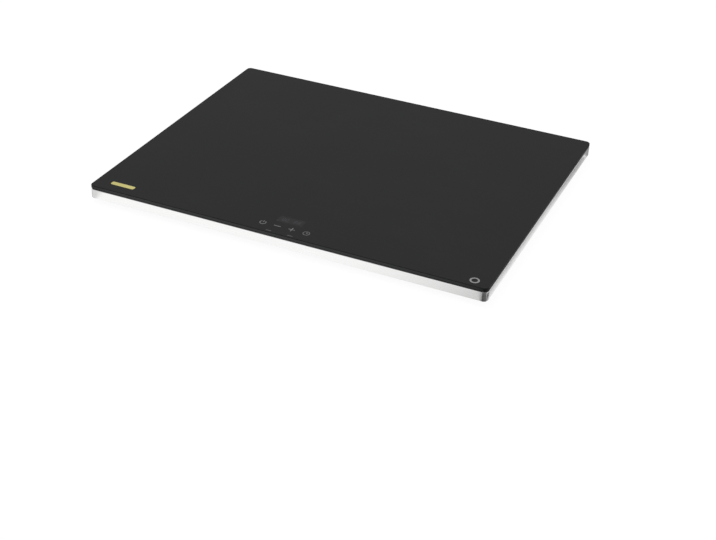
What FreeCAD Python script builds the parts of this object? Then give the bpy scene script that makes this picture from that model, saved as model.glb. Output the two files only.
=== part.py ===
# Electric food warmer tray: a slim countertop hot plate with a black glass top, a bright
# steel frame round its edge, touch keys behind the glass at the front, and rubber feet.
#
# Frame: +X to the right, +Y to the back, +Z up. The origin is the middle of the tray's
# footprint, on the plane that the feet stand on. All sizes are in millimetres.
#
# From the top down: glass, silicone seal and frame; bonding film, spreader plate, heating
# cable and its retaining strips; fibre blanket; base pan, which is screwed under the frame.
# The front strip, ahead of the heated zone, holds the touch panel and the power board.

import FreeCAD, Part
import math
import os

Vector = FreeCAD.Vector

# ---------------------------------------------------------------- driving dimensions
# Outside
WIDTH = 500.0  # left to right, over the glass
DEPTH = 400.0  # front to back, over the glass
CORNER = 6.0  # plan radius of the glass and the frame
STAND = 6.0  # table to the frame's lower edge
BAND = 12.4  # height of the frame's outer wall
GLASS = 4.0  # thickness of the glass
ARRIS = 0.5  # bevel ground on the glass edges
SEAL = 0.6  # silicone between the frame's ledge and the glass

# Sheet metal
SHEET = 0.8  # frame and base pan
BEND = 1.2  # outside radius of the frame's bends
LEDGE = 12.0  # frame's upper ledge, which carries the glass
LIP = 13.0  # frame's lower lip, which takes the base screws
PAN_INSET = 3.0  # frame's outer face to the pan's edge
BEAD_HEIGHT = 3.0  # stiffening beads, pressed up into the pan
BEAD_WIDTH = 14.0
BEAD_LENGTH = 380.0
BEAD_DRAFT = 3.0  # how much narrower a bead is at its top, on each side
BEADS = 5
BEAD_PITCH = 56.0

# Heater
FRONT_ZONE = 84.0  # front edge to the heated zone
REAR_ZONE = 16.0  # heated zone to the back edge
HEATED_WIDTH = 436.0
HEATED_CORNER = 8.0  # plan radius of the film, the spreader and the blanket
FILM = 0.3  # thermal bonding film under the glass
SPREADER = 1.5  # aluminium spreader plate
CABLE = 3.0  # diameter of the heating cable
CABLE_RUNS = 14
CABLE_PITCH = 31.0
CABLE_MARGIN = 8.0  # cable to the spreader's front and back edges
RETAINER = 0.4  # thickness of the strips that hold the cable up
RETAINER_WIDTH = 14.0
RETAINER_SPACING = 100.0
CRIMP_LENGTH = 12.0

# Touch panel
KEYS = 4
KEY_PITCH = 18.3
KEY_SETBACK = 19.0  # front edge to the row of keys
DISPLAY_SETBACK = 37.0  # front edge to the middle of the display
DISPLAY = (28.0, 12.0, 3.6)
CARRIER = (104.0, 40.0, 5.8)
CARRIER_WALL = 1.2
PAD = 8.0  # diameter of a key's foam pillar
WELL = 9.4  # bore of the tube that a pillar stands in
LAMP = (1.6, 0.8, 0.7)
LAMP_HOLE = 2.2
LAMP_SETBACK = 7.4  # row of keys to the row of lamps behind it
TOUCH_BOARD = (98.0, 34.0, 1.2)
PANEL_SCREW = (4.0, 1.4, 2.0, 3.4)  # head diameter, head height, shank diameter, length
PANEL_SCREW_INSET = (5.0, 4.0)

# Power board
POWER_BOARD = (92.0, 48.0, 1.6)
POWER_BOARD_X = 150.0
POWER_BOARD_Y = -152.0
STANDOFF = 2.5
BOARD_SCREW = (5.4, 1.8, 3.0)  # head diameter, head height, shank diameter
BOARD_SCREW_INSET = (5.0, 3.5)
SPACER = 6.0  # outer diameter of the board's spacers
SCREW_END = 0.4  # how far a screw's end stands through the pan

# Feet, screws and cord entry
FOOT_TOP = 22.0
FOOT_BOTTOM = 19.0
FOOT_X = 210.0
FOOT_Y = 160.0
BASE_SCREW = (5.6, 1.9, 3.0, 5.0)  # head diameter, head height, shank diameter, length
FOOT_SCREW = (7.0, 1.8, 3.5, 5.4)
FOOT_SEAT = 3.0  # table to the seat of the foot's screw
FOOT_RECESS = 9.6  # diameter of the recess below that seat
FOOT_EASE = 0.8  # bevel round the foot's tread
CORD_BORE = 6.4
NOTCH = (12.0, 9.4)  # slot for the cord gland, open at the frame's lower edge: width, height
GLAND_FLANGE = (1.5, 2.8)  # how far the gland stands outside and inside the wall
GLAND_OVERHANG = 1.4  # how far its flanges lap over the notch's sides
GLAND_X = 228.5
LEAD = 2.4  # supply leads, over their insulation
HEATER_LEAD = 2.0
SENSOR_LEAD = 1.6
LEAD_SETBACK = 6.0  # heated zone to the heater lead that runs along its front

# ---------------------------------------------------------------- heights and lines
PAN_TOP = STAND  # the pan bears on the underside of the frame's lip
PAN_BOTTOM = STAND - SHEET
FRAME_TOP = STAND + BAND
GLASS_BOTTOM = FRAME_TOP + SEAL
SPREADER_BOTTOM = GLASS_BOTTOM - FILM - SPREADER
CABLE_AXIS = SPREADER_BOTTOM - CABLE / 2
RETAINER_BOTTOM = CABLE_AXIS - CABLE / 2 - RETAINER
BLANKET_BOTTOM = PAN_TOP + BEAD_HEIGHT
HEAT_FRONT = -DEPTH / 2 + FRONT_ZONE
HEAT_BACK = DEPTH / 2 - REAR_ZONE
HEAT_Y = (HEAT_FRONT + HEAT_BACK) / 2
HEATED_DEPTH = HEAT_BACK - HEAT_FRONT
KEY_Y = -DEPTH / 2 + KEY_SETBACK
LAMP_Y = KEY_Y + LAMP_SETBACK
DISPLAY_Y = -DEPTH / 2 + DISPLAY_SETBACK
KEY_XS = [(k - (KEYS - 1) / 2) * KEY_PITCH for k in range(KEYS)]
CARRIER_BOTTOM = GLASS_BOTTOM - CARRIER[2]
CARRIER_Y = -DEPTH / 2 + LEDGE + 1.0 + CARRIER[1] / 2
TOUCH_TOP = CARRIER_BOTTOM + 1.8
TOUCH_BOTTOM = TOUCH_TOP - TOUCH_BOARD[2]
POWER_BOTTOM = PAN_TOP + STANDOFF
POWER_TOP = POWER_BOTTOM + POWER_BOARD[2]
GLAND_Z = STAND + NOTCH[1] / 2
RUN_XS = [(k - (CABLE_RUNS - 1) / 2) * CABLE_PITCH for k in range(CABLE_RUNS)]


# ---------------------------------------------------------------- helpers
def block(size, x, y, z):
    """Plain block of size (width, depth, height), centred on x, y, standing on z."""
    width, depth, height = size
    return Part.makeBox(width, depth, height, Vector(x - width / 2, y - depth / 2, z))


def rounded_block(size, corner, x=0.0, y=0.0, z=0.0):
    """Block whose upright edges are rounded to the radius corner."""
    box = block(size, x, y, z)
    upright = [e for e in box.Edges if abs(e.tangentAt(e.FirstParameter).z) > 0.9]
    return box.makeFillet(corner, upright)


def post(diameter, height, x, y, z):
    """Upright cylinder standing on z."""
    return Part.makeCylinder(diameter / 2, height, Vector(x, y, z))


def flat_edges(solid, z):
    """Edges of the solid that lie in the plane at height z."""
    return [e for e in solid.Edges if all(abs(v.Z - z) < 1e-6 for v in e.Vertexes)]


def cut_all(solid, tools):
    """The solid with every tool cut out of it."""
    return solid.cut(Part.makeCompound(tools)) if tools else solid


def slot_wire(length, width, x, y, z):
    """Outline of a round-ended slot that runs along X."""
    half = (length - width) / 2
    r = width / 2
    right = Part.Arc(
        Vector(x + half, y - r, z), Vector(x + half + r, y, z), Vector(x + half, y + r, z)
    )
    left = Part.Arc(
        Vector(x - half, y + r, z), Vector(x - half - r, y, z), Vector(x - half, y - r, z)
    )
    front = Part.LineSegment(Vector(x - half, y - r, z), Vector(x + half, y - r, z))
    back = Part.LineSegment(Vector(x + half, y + r, z), Vector(x - half, y + r, z))
    return Part.Wire([s.toShape() for s in (front, right, back, left)])


def lead_path(points, bend):
    """Straight runs between the points, joined by tangent arcs of the radius bend."""
    edges = []
    start = points[0]
    for before, corner, after in zip(points, points[1:], points[2:]):
        back = (before - corner).normalize()
        ahead = (after - corner).normalize()
        half_turn = (math.pi - back.getAngle(ahead)) / 2
        reach = bend * math.tan(half_turn)
        arc_in = corner + back * reach
        arc_out = corner + ahead * reach
        inward = (back + ahead).normalize()
        middle = corner + inward * (bend / math.cos(half_turn) - bend)
        edges.append(Part.LineSegment(start, arc_in).toShape())
        edges.append(Part.Arc(arc_in, middle, arc_out).toShape())
        start = arc_out
    edges.append(Part.LineSegment(start, points[-1]).toShape())
    return Part.Wire(edges)


def lead(diameter, bend, *places):
    """Round insulated lead along straight runs and arcs, through the places given."""
    points = [Vector(*p) for p in places]
    path = lead_path(points, bend)
    circle = Part.makeCircle(diameter / 2, points[0], points[1] - points[0])
    return path.makePipeShell([Part.Wire(circle)], True, False)


def screw(spec, x, y, seat, up, cross=False):
    """Round-head screw whose head bears on the plane at seat; up is +1 or -1, the way
    that its shank runs. A cross recess is cut where the head can be seen."""
    head_d, head_h, shank_d, length = spec
    along = Vector(0, 0, up)
    head = Part.makeCylinder(head_d / 2, head_h, Vector(x, y, seat), along * -1)
    crown = seat - up * head_h
    head = head.makeFillet(0.7 * head_h, flat_edges(head, crown))
    shank = Part.makeCylinder(shank_d / 2, length, Vector(x, y, seat), along)
    solid = head.fuse(shank).removeSplitter()
    if not cross:
        return solid
    arm, slit, sink = 0.5 * head_d, 0.14 * head_d, 0.5 * head_h
    low = min(crown, crown + up * sink)
    arms = [block((arm, slit, sink), x, y, low), block((slit, arm, sink), x, y, low)]
    return cut_all(solid, arms)


def grid(xs, ys):
    """Every pair of the places xs and ys."""
    return [(x, y) for x in xs for y in ys]


def board_corners(board, inset, x, y):
    """Screw places near the four corners of a board."""
    dx, dy = board[0] / 2 - inset[0], board[1] / 2 - inset[1]
    return grid((x - dx, x + dx), (y - dy, y + dy))


# ---------------------------------------------------------------- glass and frame
def glass_top():
    """Tempered glass plate with all its edges ground."""
    glass = rounded_block((WIDTH, DEPTH, GLASS), CORNER, z=GLASS_BOTTOM)
    rims = flat_edges(glass, GLASS_BOTTOM) + flat_edges(glass, GLASS_BOTTOM + GLASS)
    return glass.makeChamfer(ARRIS, rims)


def glass_seal():
    """Flat silicone bead between the frame's ledge and the glass."""
    outer_inset, inner_inset = 1.5, LEDGE - 2.0
    outer = rounded_block(
        (WIDTH - 2 * outer_inset, DEPTH - 2 * outer_inset, SEAL),
        CORNER - outer_inset,
        z=FRAME_TOP,
    )
    inner = rounded_block(
        (WIDTH - 2 * inner_inset, DEPTH - 2 * inner_inset, SEAL), 3.0, z=FRAME_TOP
    )
    return outer.cut(inner)


def base_screw_places():
    """Screw places along the frame's lip: four on each long side, two on each short one."""
    edge = (PAN_INSET + LIP) / 2
    x_edge, y_edge = WIDTH / 2 - edge, DEPTH / 2 - edge
    long_sides = grid((-0.9 * x_edge, -0.3 * x_edge, 0.3 * x_edge, 0.9 * x_edge), (-y_edge, y_edge))
    return long_sides + grid((-x_edge, x_edge), (-0.4 * y_edge, 0.4 * y_edge))


def perimeter_frame():
    """Pressed steel frame of C section: outer wall, ledge under the glass, lower lip."""
    outer = rounded_block((WIDTH, DEPTH, BAND), CORNER, z=STAND)
    outer = outer.makeFillet(BEND, flat_edges(outer, STAND) + flat_edges(outer, FRAME_TOP))
    hollow = rounded_block(
        (WIDTH - 2 * SHEET, DEPTH - 2 * SHEET, BAND - 2 * SHEET), CORNER - SHEET, z=STAND + SHEET
    )
    rims = flat_edges(hollow, STAND + SHEET) + flat_edges(hollow, FRAME_TOP - SHEET)
    hollow = hollow.makeFillet(BEND - SHEET, rims)
    window = rounded_block((WIDTH - 2 * LEDGE, DEPTH - 2 * LEDGE, BAND), 4.0, z=STAND + BAND / 2)
    mouth = rounded_block((WIDTH - 2 * LIP, DEPTH - 2 * LIP, BAND), 4.0, z=STAND - BAND / 2)
    notch_depth = SHEET + GLAND_FLANGE[1]
    notch = block(
        (NOTCH[0], 2 * notch_depth, NOTCH[1] + SHEET), GLAND_X, DEPTH / 2, STAND - SHEET
    )
    screw_holes = [
        post(BASE_SCREW[2], 2 * SHEET, x, y, STAND - SHEET / 2) for x, y in base_screw_places()
    ]
    return cut_all(outer, [hollow, window, mouth, notch] + screw_holes)


def cord_gland():
    """Moulded gland in the notch of the back wall: it slides up into the notch, its two
    flanges grip the wall, and the base pan closes it in."""
    outside, inside = GLAND_FLANGE
    wall = DEPTH / 2
    wide, high, low = NOTCH[0] + 2 * GLAND_OVERHANG, BAND - 2 * BEND, STAND + BEND
    outer = block((wide, outside, high), GLAND_X, wall + outside / 2, low)
    rim = [e for e in outer.Edges if all(v.Y > wall + outside - 1e-6 for v in e.Vertexes)]
    outer = outer.makeChamfer(0.6, rim)
    inner = block((wide, inside, high), GLAND_X, wall - SHEET - inside / 2, low)
    neck_size = (NOTCH[0], SHEET + inside, NOTCH[1])
    neck = block(neck_size, GLAND_X, wall - (SHEET + inside) / 2, STAND)
    body = neck.multiFuse([outer, inner]).removeSplitter()
    start = Vector(GLAND_X, wall - SHEET - inside, GLAND_Z)
    bore = Part.makeCylinder(CORD_BORE / 2, SHEET + inside + outside, start, Vector(0, 1, 0))
    return body.cut(bore)


# ---------------------------------------------------------------- base, feet and screws
def bead(sink):
    """Tapered round-ended bead, lowered by sink, to fuse on or cut from the pan."""
    low = slot_wire(BEAD_LENGTH, BEAD_WIDTH, 0.0, 0.0, PAN_TOP - sink)
    top_length, top_width = BEAD_LENGTH - 2 * BEAD_DRAFT, BEAD_WIDTH - 2 * BEAD_DRAFT
    high = slot_wire(top_length, top_width, 0.0, 0.0, PAN_TOP + BEAD_HEIGHT - sink)
    return Part.makeLoft([low, high], True, True)


def vent_slots(x_middle):
    """A row of round-ended air slots, each running front to back."""
    count, pitch, length, width = 10, 7.0, 26.0, 3.0
    slots = []
    for k in range(count):
        outline = slot_wire(length, width, 0.0, 0.0, PAN_BOTTOM - SHEET)
        slot = Part.Face(outline).extrude(Vector(0, 0, 3 * SHEET))
        slot.rotate(Vector(0, 0, 0), Vector(0, 0, 1), 90)
        slot.translate(Vector(x_middle + (k - (count - 1) / 2) * pitch, POWER_BOARD_Y, 0))
        slots.append(slot)
    return slots


def base_pan():
    """Steel bottom cover with pressed-up beads, air slots and screw holes."""
    size = (WIDTH - 2 * PAN_INSET, DEPTH - 2 * PAN_INSET, SHEET)
    pan = rounded_block(size, CORNER - PAN_INSET / 2, z=PAN_BOTTOM)
    for k in range(BEADS):
        place = Vector(0, HEAT_Y + (k - (BEADS - 1) / 2) * BEAD_PITCH, 0)
        pan = pan.fuse(bead(0.0).translated(place)).cut(bead(SHEET).translated(place))
    holes = vent_slots(POWER_BOARD_X) + vent_slots(-POWER_BOARD_X)
    drilled = [(BASE_SCREW[2] + 0.4, base_screw_places()), (FOOT_SCREW[2], foot_places())]
    drilled += [(BOARD_SCREW[2], power_board_corners() + [earth_place()])]
    for diameter, places in drilled:
        holes += [post(diameter, 3 * SHEET, x, y, PAN_BOTTOM - SHEET) for x, y in places]
    return cut_all(pan, holes).removeSplitter()


def base_screws():
    """Screws up through the pan into the frame's lip."""
    return [screw(BASE_SCREW, x, y, PAN_BOTTOM, 1, cross=True) for x, y in base_screw_places()]


def foot_places():
    """Middle of each foot, front left, front right, back left and back right."""
    return [(x, y) for y in (-FOOT_Y, FOOT_Y) for x in (-FOOT_X, FOOT_X)]


def rubber_foot(x, y):
    """Tapered rubber foot with a sunk seat for its screw."""
    profile = [
        (FOOT_SCREW[2] / 2, FOOT_SEAT),
        (FOOT_RECESS / 2, FOOT_SEAT),
        (FOOT_RECESS / 2, 0.0),
        (FOOT_BOTTOM / 2 - FOOT_EASE, 0.0),
        (FOOT_BOTTOM / 2, FOOT_EASE),
        (FOOT_TOP / 2, PAN_BOTTOM),
        (FOOT_SCREW[2] / 2, PAN_BOTTOM),
    ]
    points = [Vector(x + r, y, z) for r, z in profile]
    section = Part.Face(Part.makePolygon(points + points[:1]))
    return section.revolve(Vector(x, y, 0), Vector(0, 0, 1), 360)


def foot_screws():
    """Screws that hold the feet to the pan, with their heads inside the feet."""
    return [screw(FOOT_SCREW, x, y, FOOT_SEAT, 1) for x, y in foot_places()]


# ---------------------------------------------------------------- heater
def bonding_film():
    """Thermal film that bonds the spreader to the underside of the glass."""
    size = (HEATED_WIDTH, HEATED_DEPTH, FILM)
    return rounded_block(size, HEATED_CORNER, y=HEAT_Y, z=GLASS_BOTTOM - FILM)


def spreader_plate():
    """Aluminium plate that evens out the cable's heat."""
    size = (HEATED_WIDTH, HEATED_DEPTH, SPREADER)
    return rounded_block(size, HEATED_CORNER, y=HEAT_Y, z=SPREADER_BOTTOM)


def cable_run_ends():
    """Y of the front and back bend centres, and of the two front ends of the cable."""
    bend = CABLE_PITCH / 2
    reach = CABLE_MARGIN + CABLE / 2 + bend
    return HEAT_FRONT + reach, HEAT_BACK - reach, HEAT_FRONT + CRIMP_LENGTH


def heating_cable():
    """One insulated heating cable laid in even runs from front to back and back again."""
    front, back, tail = cable_run_ends()
    bend = CABLE_PITCH / 2
    edges = []
    y_from = tail
    for k, x in enumerate(RUN_XS):
        heading_back = k % 2 == 0
        y_to = back if heading_back else front
        if k == CABLE_RUNS - 1:
            y_to = tail
        edges.append(
            Part.LineSegment(Vector(x, y_from, CABLE_AXIS), Vector(x, y_to, CABLE_AXIS)).toShape()
        )
        if k < CABLE_RUNS - 1:
            crest = y_to + bend if heading_back else y_to - bend
            arc = Part.Arc(
                Vector(x, y_to, CABLE_AXIS),
                Vector(x + bend, crest, CABLE_AXIS),
                Vector(x + CABLE_PITCH, y_to, CABLE_AXIS),
            )
            edges.append(arc.toShape())
        y_from = y_to
    start = Vector(RUN_XS[0], tail, CABLE_AXIS)
    circle = Part.makeCircle(CABLE / 2, start, Vector(0, 1, 0))
    return Part.Wire(edges).makePipeShell([Part.Wire(circle)], True, False)


def retainer_strip(y):
    """Pressed strip that runs across the cable, with a hump under each run."""
    inner, outer = CABLE / 2, CABLE / 2 + RETAINER
    flat_top, flat_bottom = SPREADER_BOTTOM, SPREADER_BOTTOM - RETAINER
    end = RUN_XS[-1] + 10.0
    upper, lower = [], []
    for x in RUN_XS:
        upper.append((x - inner, flat_top, x + inner, inner))
        lower.append((x - outer, flat_bottom, x + outer, outer))

    def half(humps, z_flat):
        """Edges of one side of the strip, from its left end to its right end."""
        edges = []
        at = Vector(-end, 0, z_flat)
        for left, _, right, radius in humps:
            down = Vector(left, 0, z_flat)
            mid = (left + right) / 2
            bowl_in, bowl_out = Vector(left, 0, CABLE_AXIS), Vector(right, 0, CABLE_AXIS)
            edges.append(Part.LineSegment(at, down).toShape())
            edges.append(Part.LineSegment(down, bowl_in).toShape())
            edges.append(Part.Arc(bowl_in, Vector(mid, 0, CABLE_AXIS - radius), bowl_out).toShape())
            at = Vector(right, 0, z_flat)
            edges.append(Part.LineSegment(bowl_out, at).toShape())
        edges.append(Part.LineSegment(at, Vector(end, 0, z_flat)).toShape())
        return edges

    sides = [
        Part.LineSegment(Vector(s * end, 0, flat_top), Vector(s * end, 0, flat_bottom)).toShape()
        for s in (-1, 1)
    ]
    outline = Part.Wire(Part.__sortEdges__(half(upper, flat_top) + half(lower, flat_bottom) + sides))
    strip = Part.Face(outline).extrude(Vector(0, RETAINER_WIDTH, 0))
    return strip.translated(Vector(0, y - RETAINER_WIDTH / 2, 0))


def cable_retainers():
    """Three strips, spot-fixed to the spreader, that hold the cable against it."""
    return [retainer_strip(HEAT_Y + k * RETAINER_SPACING) for k in (-1, 0, 1)]


def cable_crimps():
    """Sleeves that join the cable's two ends to their cold leads."""
    starts = [Vector(x, HEAT_FRONT, CABLE_AXIS) for x in (RUN_XS[0], RUN_XS[-1])]
    return [Part.makeCylinder(CABLE / 2, CRIMP_LENGTH, s, Vector(0, 1, 0)) for s in starts]


def insulation_blanket():
    """Ceramic-fibre blanket between the heater and the pan's beads."""
    size = (HEATED_WIDTH, HEATED_DEPTH, RETAINER_BOTTOM - BLANKET_BOTTOM)
    return rounded_block(size, HEATED_CORNER, y=HEAT_Y, z=BLANKET_BOTTOM)


SENSOR_Y = -16.0
SENSOR_LUG = (8.0, 12.0, 1.0)
SENSOR_BARREL = (1.4, 9.0)  # radius and length
SENSOR_DROP = 2.0  # spreader to the barrel's axis
CUTOUT_Y = -30.0
CUTOUT_X = (RUN_XS[-1] + RUN_XS[-2]) / 2
CUTOUT_SIZE = (8.0, 16.0, 3.4)


def temperature_sensor():
    """Thermistor in a flat lug against the spreader, midway between two cable runs."""
    radius, length = SENSOR_BARREL
    lug = rounded_block(SENSOR_LUG, 2.0, 0.0, SENSOR_Y, SPREADER_BOTTOM - SENSOR_LUG[2])
    start = Vector(0, SENSOR_Y - length / 2, SPREADER_BOTTOM - SENSOR_DROP)
    barrel = Part.makeCylinder(radius, length, start, Vector(0, 1, 0))
    return lug.fuse(barrel).removeSplitter()


def thermal_cutout():
    """Self-acting over-temperature cut-out, held flat against the spreader."""
    height = CUTOUT_SIZE[2]
    body = rounded_block(CUTOUT_SIZE, 1.2, CUTOUT_X, CUTOUT_Y, SPREADER_BOTTOM - height)
    return body.makeFillet(0.6, flat_edges(body, SPREADER_BOTTOM - height))


# ---------------------------------------------------------------- touch panel
def panel_screw_places():
    """Places of the four screws that hold the touch board in its carrier."""
    return board_corners(TOUCH_BOARD, PANEL_SCREW_INSET, 0.0, CARRIER_Y)


def panel_carrier():
    """Moulded carrier stuck under the glass: a rimmed plate with key wells, a display
    shroud, lamp holes and screw bosses."""
    width, depth, height = CARRIER
    face = GLASS_BOTTOM - CARRIER_WALL
    rib, shroud_wall, slack, boss = 1.0, 1.4, 0.3, 5.0
    carrier = rounded_block(CARRIER, 3.0, 0.0, CARRIER_Y, CARRIER_BOTTOM)
    room = (width - 2 * CARRIER_WALL, depth - 2 * CARRIER_WALL, height - CARRIER_WALL)
    carrier = carrier.cut(rounded_block(room, 1.8, 0.0, CARRIER_Y, CARRIER_BOTTOM))
    deep = face - TOUCH_TOP
    shroud_size = (DISPLAY[0] + 2 * shroud_wall, DISPLAY[1] + 2 * shroud_wall, deep)
    shroud = block(shroud_size, 0.0, DISPLAY_Y, TOUCH_TOP)
    tubes = [post(WELL + 2 * rib, deep, x, KEY_Y, TOUCH_TOP) for x in KEY_XS]
    bosses = [post(boss, deep, x, y, TOUCH_TOP) for x, y in panel_screw_places()]
    carrier = carrier.multiFuse([shroud] + tubes + bosses)
    through = GLASS_BOTTOM - TOUCH_TOP
    opening_size = (DISPLAY[0] + 2 * slack, DISPLAY[1] + 2 * slack, through)
    opening = block(opening_size, 0.0, DISPLAY_Y, TOUCH_TOP)
    wells = [post(WELL, through, x, KEY_Y, TOUCH_TOP) for x in KEY_XS]
    lamps = [post(LAMP_HOLE, through, x, LAMP_Y, TOUCH_TOP) for x in KEY_XS]
    pilots = [post(PANEL_SCREW[2], deep - 0.4, x, y, TOUCH_TOP) for x, y in panel_screw_places()]
    return cut_all(carrier, [opening] + wells + lamps + pilots).removeSplitter()


def touch_board():
    """Circuit board under the keys and the display."""
    board = rounded_block(TOUCH_BOARD, 1.5, 0.0, CARRIER_Y, TOUCH_BOTTOM)
    holes = [
        post(PANEL_SCREW[2], TOUCH_BOARD[2], x, y, TOUCH_BOTTOM) for x, y in panel_screw_places()
    ]
    return cut_all(board, holes)


def touch_pads():
    """Conductive foam pillars that couple each key's electrode to the glass."""
    height = GLASS_BOTTOM - TOUCH_TOP
    waist_radius = 1.6
    waist_ring = PAD / 2 + 0.75 * waist_radius
    pads = []
    for x in KEY_XS:
        pad = post(PAD, height, x, KEY_Y, TOUCH_TOP)
        waist = Part.makeTorus(waist_ring, waist_radius, Vector(x, KEY_Y, TOUCH_TOP + height / 2))
        pads.append(pad.cut(waist))
    return pads


def display_module():
    """Two-digit lamp display with its digit face just under the glass."""
    body = block(DISPLAY, 0.0, DISPLAY_Y, TOUCH_TOP)
    return body.makeChamfer(0.4, flat_edges(body, TOUCH_TOP + DISPLAY[2]))


def key_lamps():
    """Surface-mounted lamps, one behind each key."""
    return [block(LAMP, x, LAMP_Y, TOUCH_TOP) for x in KEY_XS]


def panel_screws():
    """Self-tapping screws up through the touch board into the carrier's bosses."""
    return [screw(PANEL_SCREW, x, y, TOUCH_BOTTOM, 1) for x, y in panel_screw_places()]


# ---------------------------------------------------------------- power board
def power_board_corners():
    """Places of the four screws that hold the power board."""
    return board_corners(POWER_BOARD, BOARD_SCREW_INSET, POWER_BOARD_X, POWER_BOARD_Y)


def power_board():
    """Circuit board that switches the heater."""
    board = rounded_block(POWER_BOARD, 1.5, POWER_BOARD_X, POWER_BOARD_Y, POWER_BOTTOM)
    holes = [
        post(BOARD_SCREW[2], POWER_BOARD[2], x, y, POWER_BOTTOM) for x, y in power_board_corners()
    ]
    return cut_all(board, holes)


def board_standoffs():
    """Nylon spacers between the pan and the power board."""
    spacers = []
    for x, y in power_board_corners():
        tube = post(SPACER, STANDOFF, x, y, PAN_TOP)
        spacers.append(tube.cut(post(BOARD_SCREW[2], STANDOFF, x, y, PAN_TOP)))
    return spacers


def board_screws():
    """Screws down through the power board and its spacers into the pan."""
    spec = BOARD_SCREW + (POWER_TOP - PAN_BOTTOM + SCREW_END,)
    return [screw(spec, x, y, POWER_TOP, -1) for x, y in power_board_corners()]


HEATSINK = (24.0, 22.0, 6.2)
HEATSINK_PLACE = (140.0, -143.0)
HEATSINK_BASE = 1.5


def triac_heatsink():
    """Extruded heat sink: a flat base with two upright fins along each side."""
    x, y = HEATSINK_PLACE
    width, depth, height = HEATSINK
    fin, gap = 1.2, 2.4
    sink = block((width, depth, HEATSINK_BASE), x, y, POWER_TOP)
    outermost = width / 2 - fin / 2
    fins = [
        block((fin, depth, height), x + side * (outermost - k * (fin + gap)), y, POWER_TOP)
        for side in (-1, 1)
        for k in (0, 1)
    ]
    return sink.multiFuse(fins).removeSplitter()


TRIAC_BODY = (10.0, 9.0, 4.4)
TRIAC_TAB = (10.0, 15.0, 1.3)
TRIAC_LEG = (0.9, 7.0, 0.6)
TRIAC_LEG_PITCH = 2.54
TRIAC_HOLE = 3.2


def triac():
    """Power switch lying flat: moulded body, metal tab with a hole, and three legs."""
    x, y = HEATSINK_PLACE
    seat = POWER_TOP + HEATSINK_BASE
    body_y, tab_y = y - 2.0, y + 1.0
    leg_y = body_y - (TRIAC_BODY[1] + TRIAC_LEG[1]) / 2
    hole_y = (body_y + TRIAC_BODY[1] / 2 + tab_y + TRIAC_TAB[1] / 2) / 2
    tab = block(TRIAC_TAB, x, tab_y, seat)
    body = block(TRIAC_BODY, x, body_y, seat)
    body = body.makeChamfer(0.5, flat_edges(body, seat + TRIAC_BODY[2]))
    legs = [
        block(TRIAC_LEG, x + k * TRIAC_LEG_PITCH, leg_y, seat + TRIAC_BODY[2] / 2)
        for k in (-1, 0, 1)
    ]
    hole = post(TRIAC_HOLE, TRIAC_TAB[2], x, hole_y, seat)
    return body.fuse(tab).cut(hole).multiFuse(legs).removeSplitter()


SUPPRESSION_CAPACITOR = (18.0, 8.0, 6.8)
SUPPRESSION_PLACE = (166.0, -152.0)


def suppression_capacitor():
    """Film capacitor across the supply."""
    x, y = SUPPRESSION_PLACE
    body = block(SUPPRESSION_CAPACITOR, x, y, POWER_TOP)
    return body.makeFillet(0.8, flat_edges(body, POWER_TOP + SUPPRESSION_CAPACITOR[2]))


CAN_RADIUS = 3.15
CAN_LENGTH = 11.0
CAN_START = (134.5, -167.0)
CAN_CRIMP = (1.6, 2.1, 2.6)  # start, middle and end of the rolled crimp, from the can's foot
CAN_CRIMP_DEPTH = 0.5
CAN_CORNER = 0.4


def smoothing_capacitor():
    """Electrolytic can lying on the board, with its rolled crimp near one end."""
    crimp_start, crimp_middle, crimp_end = CAN_CRIMP
    profile = [
        (0.0, 0.0),
        (CAN_RADIUS - CAN_CORNER, 0.0),
        (CAN_RADIUS, CAN_CORNER),
        (CAN_RADIUS, crimp_start),
        (CAN_RADIUS - CAN_CRIMP_DEPTH, crimp_middle),
        (CAN_RADIUS, crimp_end),
        (CAN_RADIUS, CAN_LENGTH - CAN_CORNER),
        (CAN_RADIUS - CAN_CORNER, CAN_LENGTH),
        (0.0, CAN_LENGTH),
    ]
    x, y = CAN_START
    axis_z = POWER_TOP + CAN_RADIUS
    points = [Vector(x + along, y + r, axis_z) for r, along in profile]
    section = Part.Face(Part.makePolygon(points + points[:1]))
    return section.revolve(Vector(x, y, axis_z), Vector(1, 0, 0), 360)


FUSE_PLACE = (171.0, -168.5)
FUSE_LENGTH = 20.0
FUSE_BARREL = 2.4  # radius of the ceramic barrel
FUSE_CAP = (2.6, 5.0)  # radius and length of each end cap
FUSE_AXIS = POWER_TOP + 3.6
CLIP = (3.6, 6.2, 5.2)
CLIP_MOUTH = 4.4


def mains_fuse():
    """Ceramic cartridge fuse with a metal cap at each end."""
    x, y = FUSE_PLACE
    start = Vector(x - FUSE_LENGTH / 2, y, FUSE_AXIS)
    along = Vector(1, 0, 0)
    cap_radius, cap_length = FUSE_CAP
    barrel = Part.makeCylinder(FUSE_BARREL, FUSE_LENGTH, start, along)
    caps = [
        Part.makeCylinder(cap_radius, cap_length, start + along * offset, along)
        for offset in (0.0, FUSE_LENGTH - cap_length)
    ]
    return barrel.multiFuse(caps).removeSplitter()


def fuse_clips():
    """Sprung clips, soldered to the board, that grip the fuse's caps."""
    x, y = FUSE_PLACE
    cap_radius, cap_length = FUSE_CAP
    middle = (FUSE_LENGTH - cap_length) / 2
    clips = []
    for clip_x in (x - middle, x + middle):
        cheeks = block(CLIP, clip_x, y, POWER_TOP)
        bed_start = Vector(clip_x - CLIP[0] / 2, y, FUSE_AXIS)
        bed = Part.makeCylinder(cap_radius, CLIP[0], bed_start, Vector(1, 0, 0))
        mouth = block((CLIP[0], CLIP_MOUTH, CLIP[2]), clip_x, y, FUSE_AXIS)
        clips.append(cheeks.cut(bed).cut(mouth))
    return clips


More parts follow.
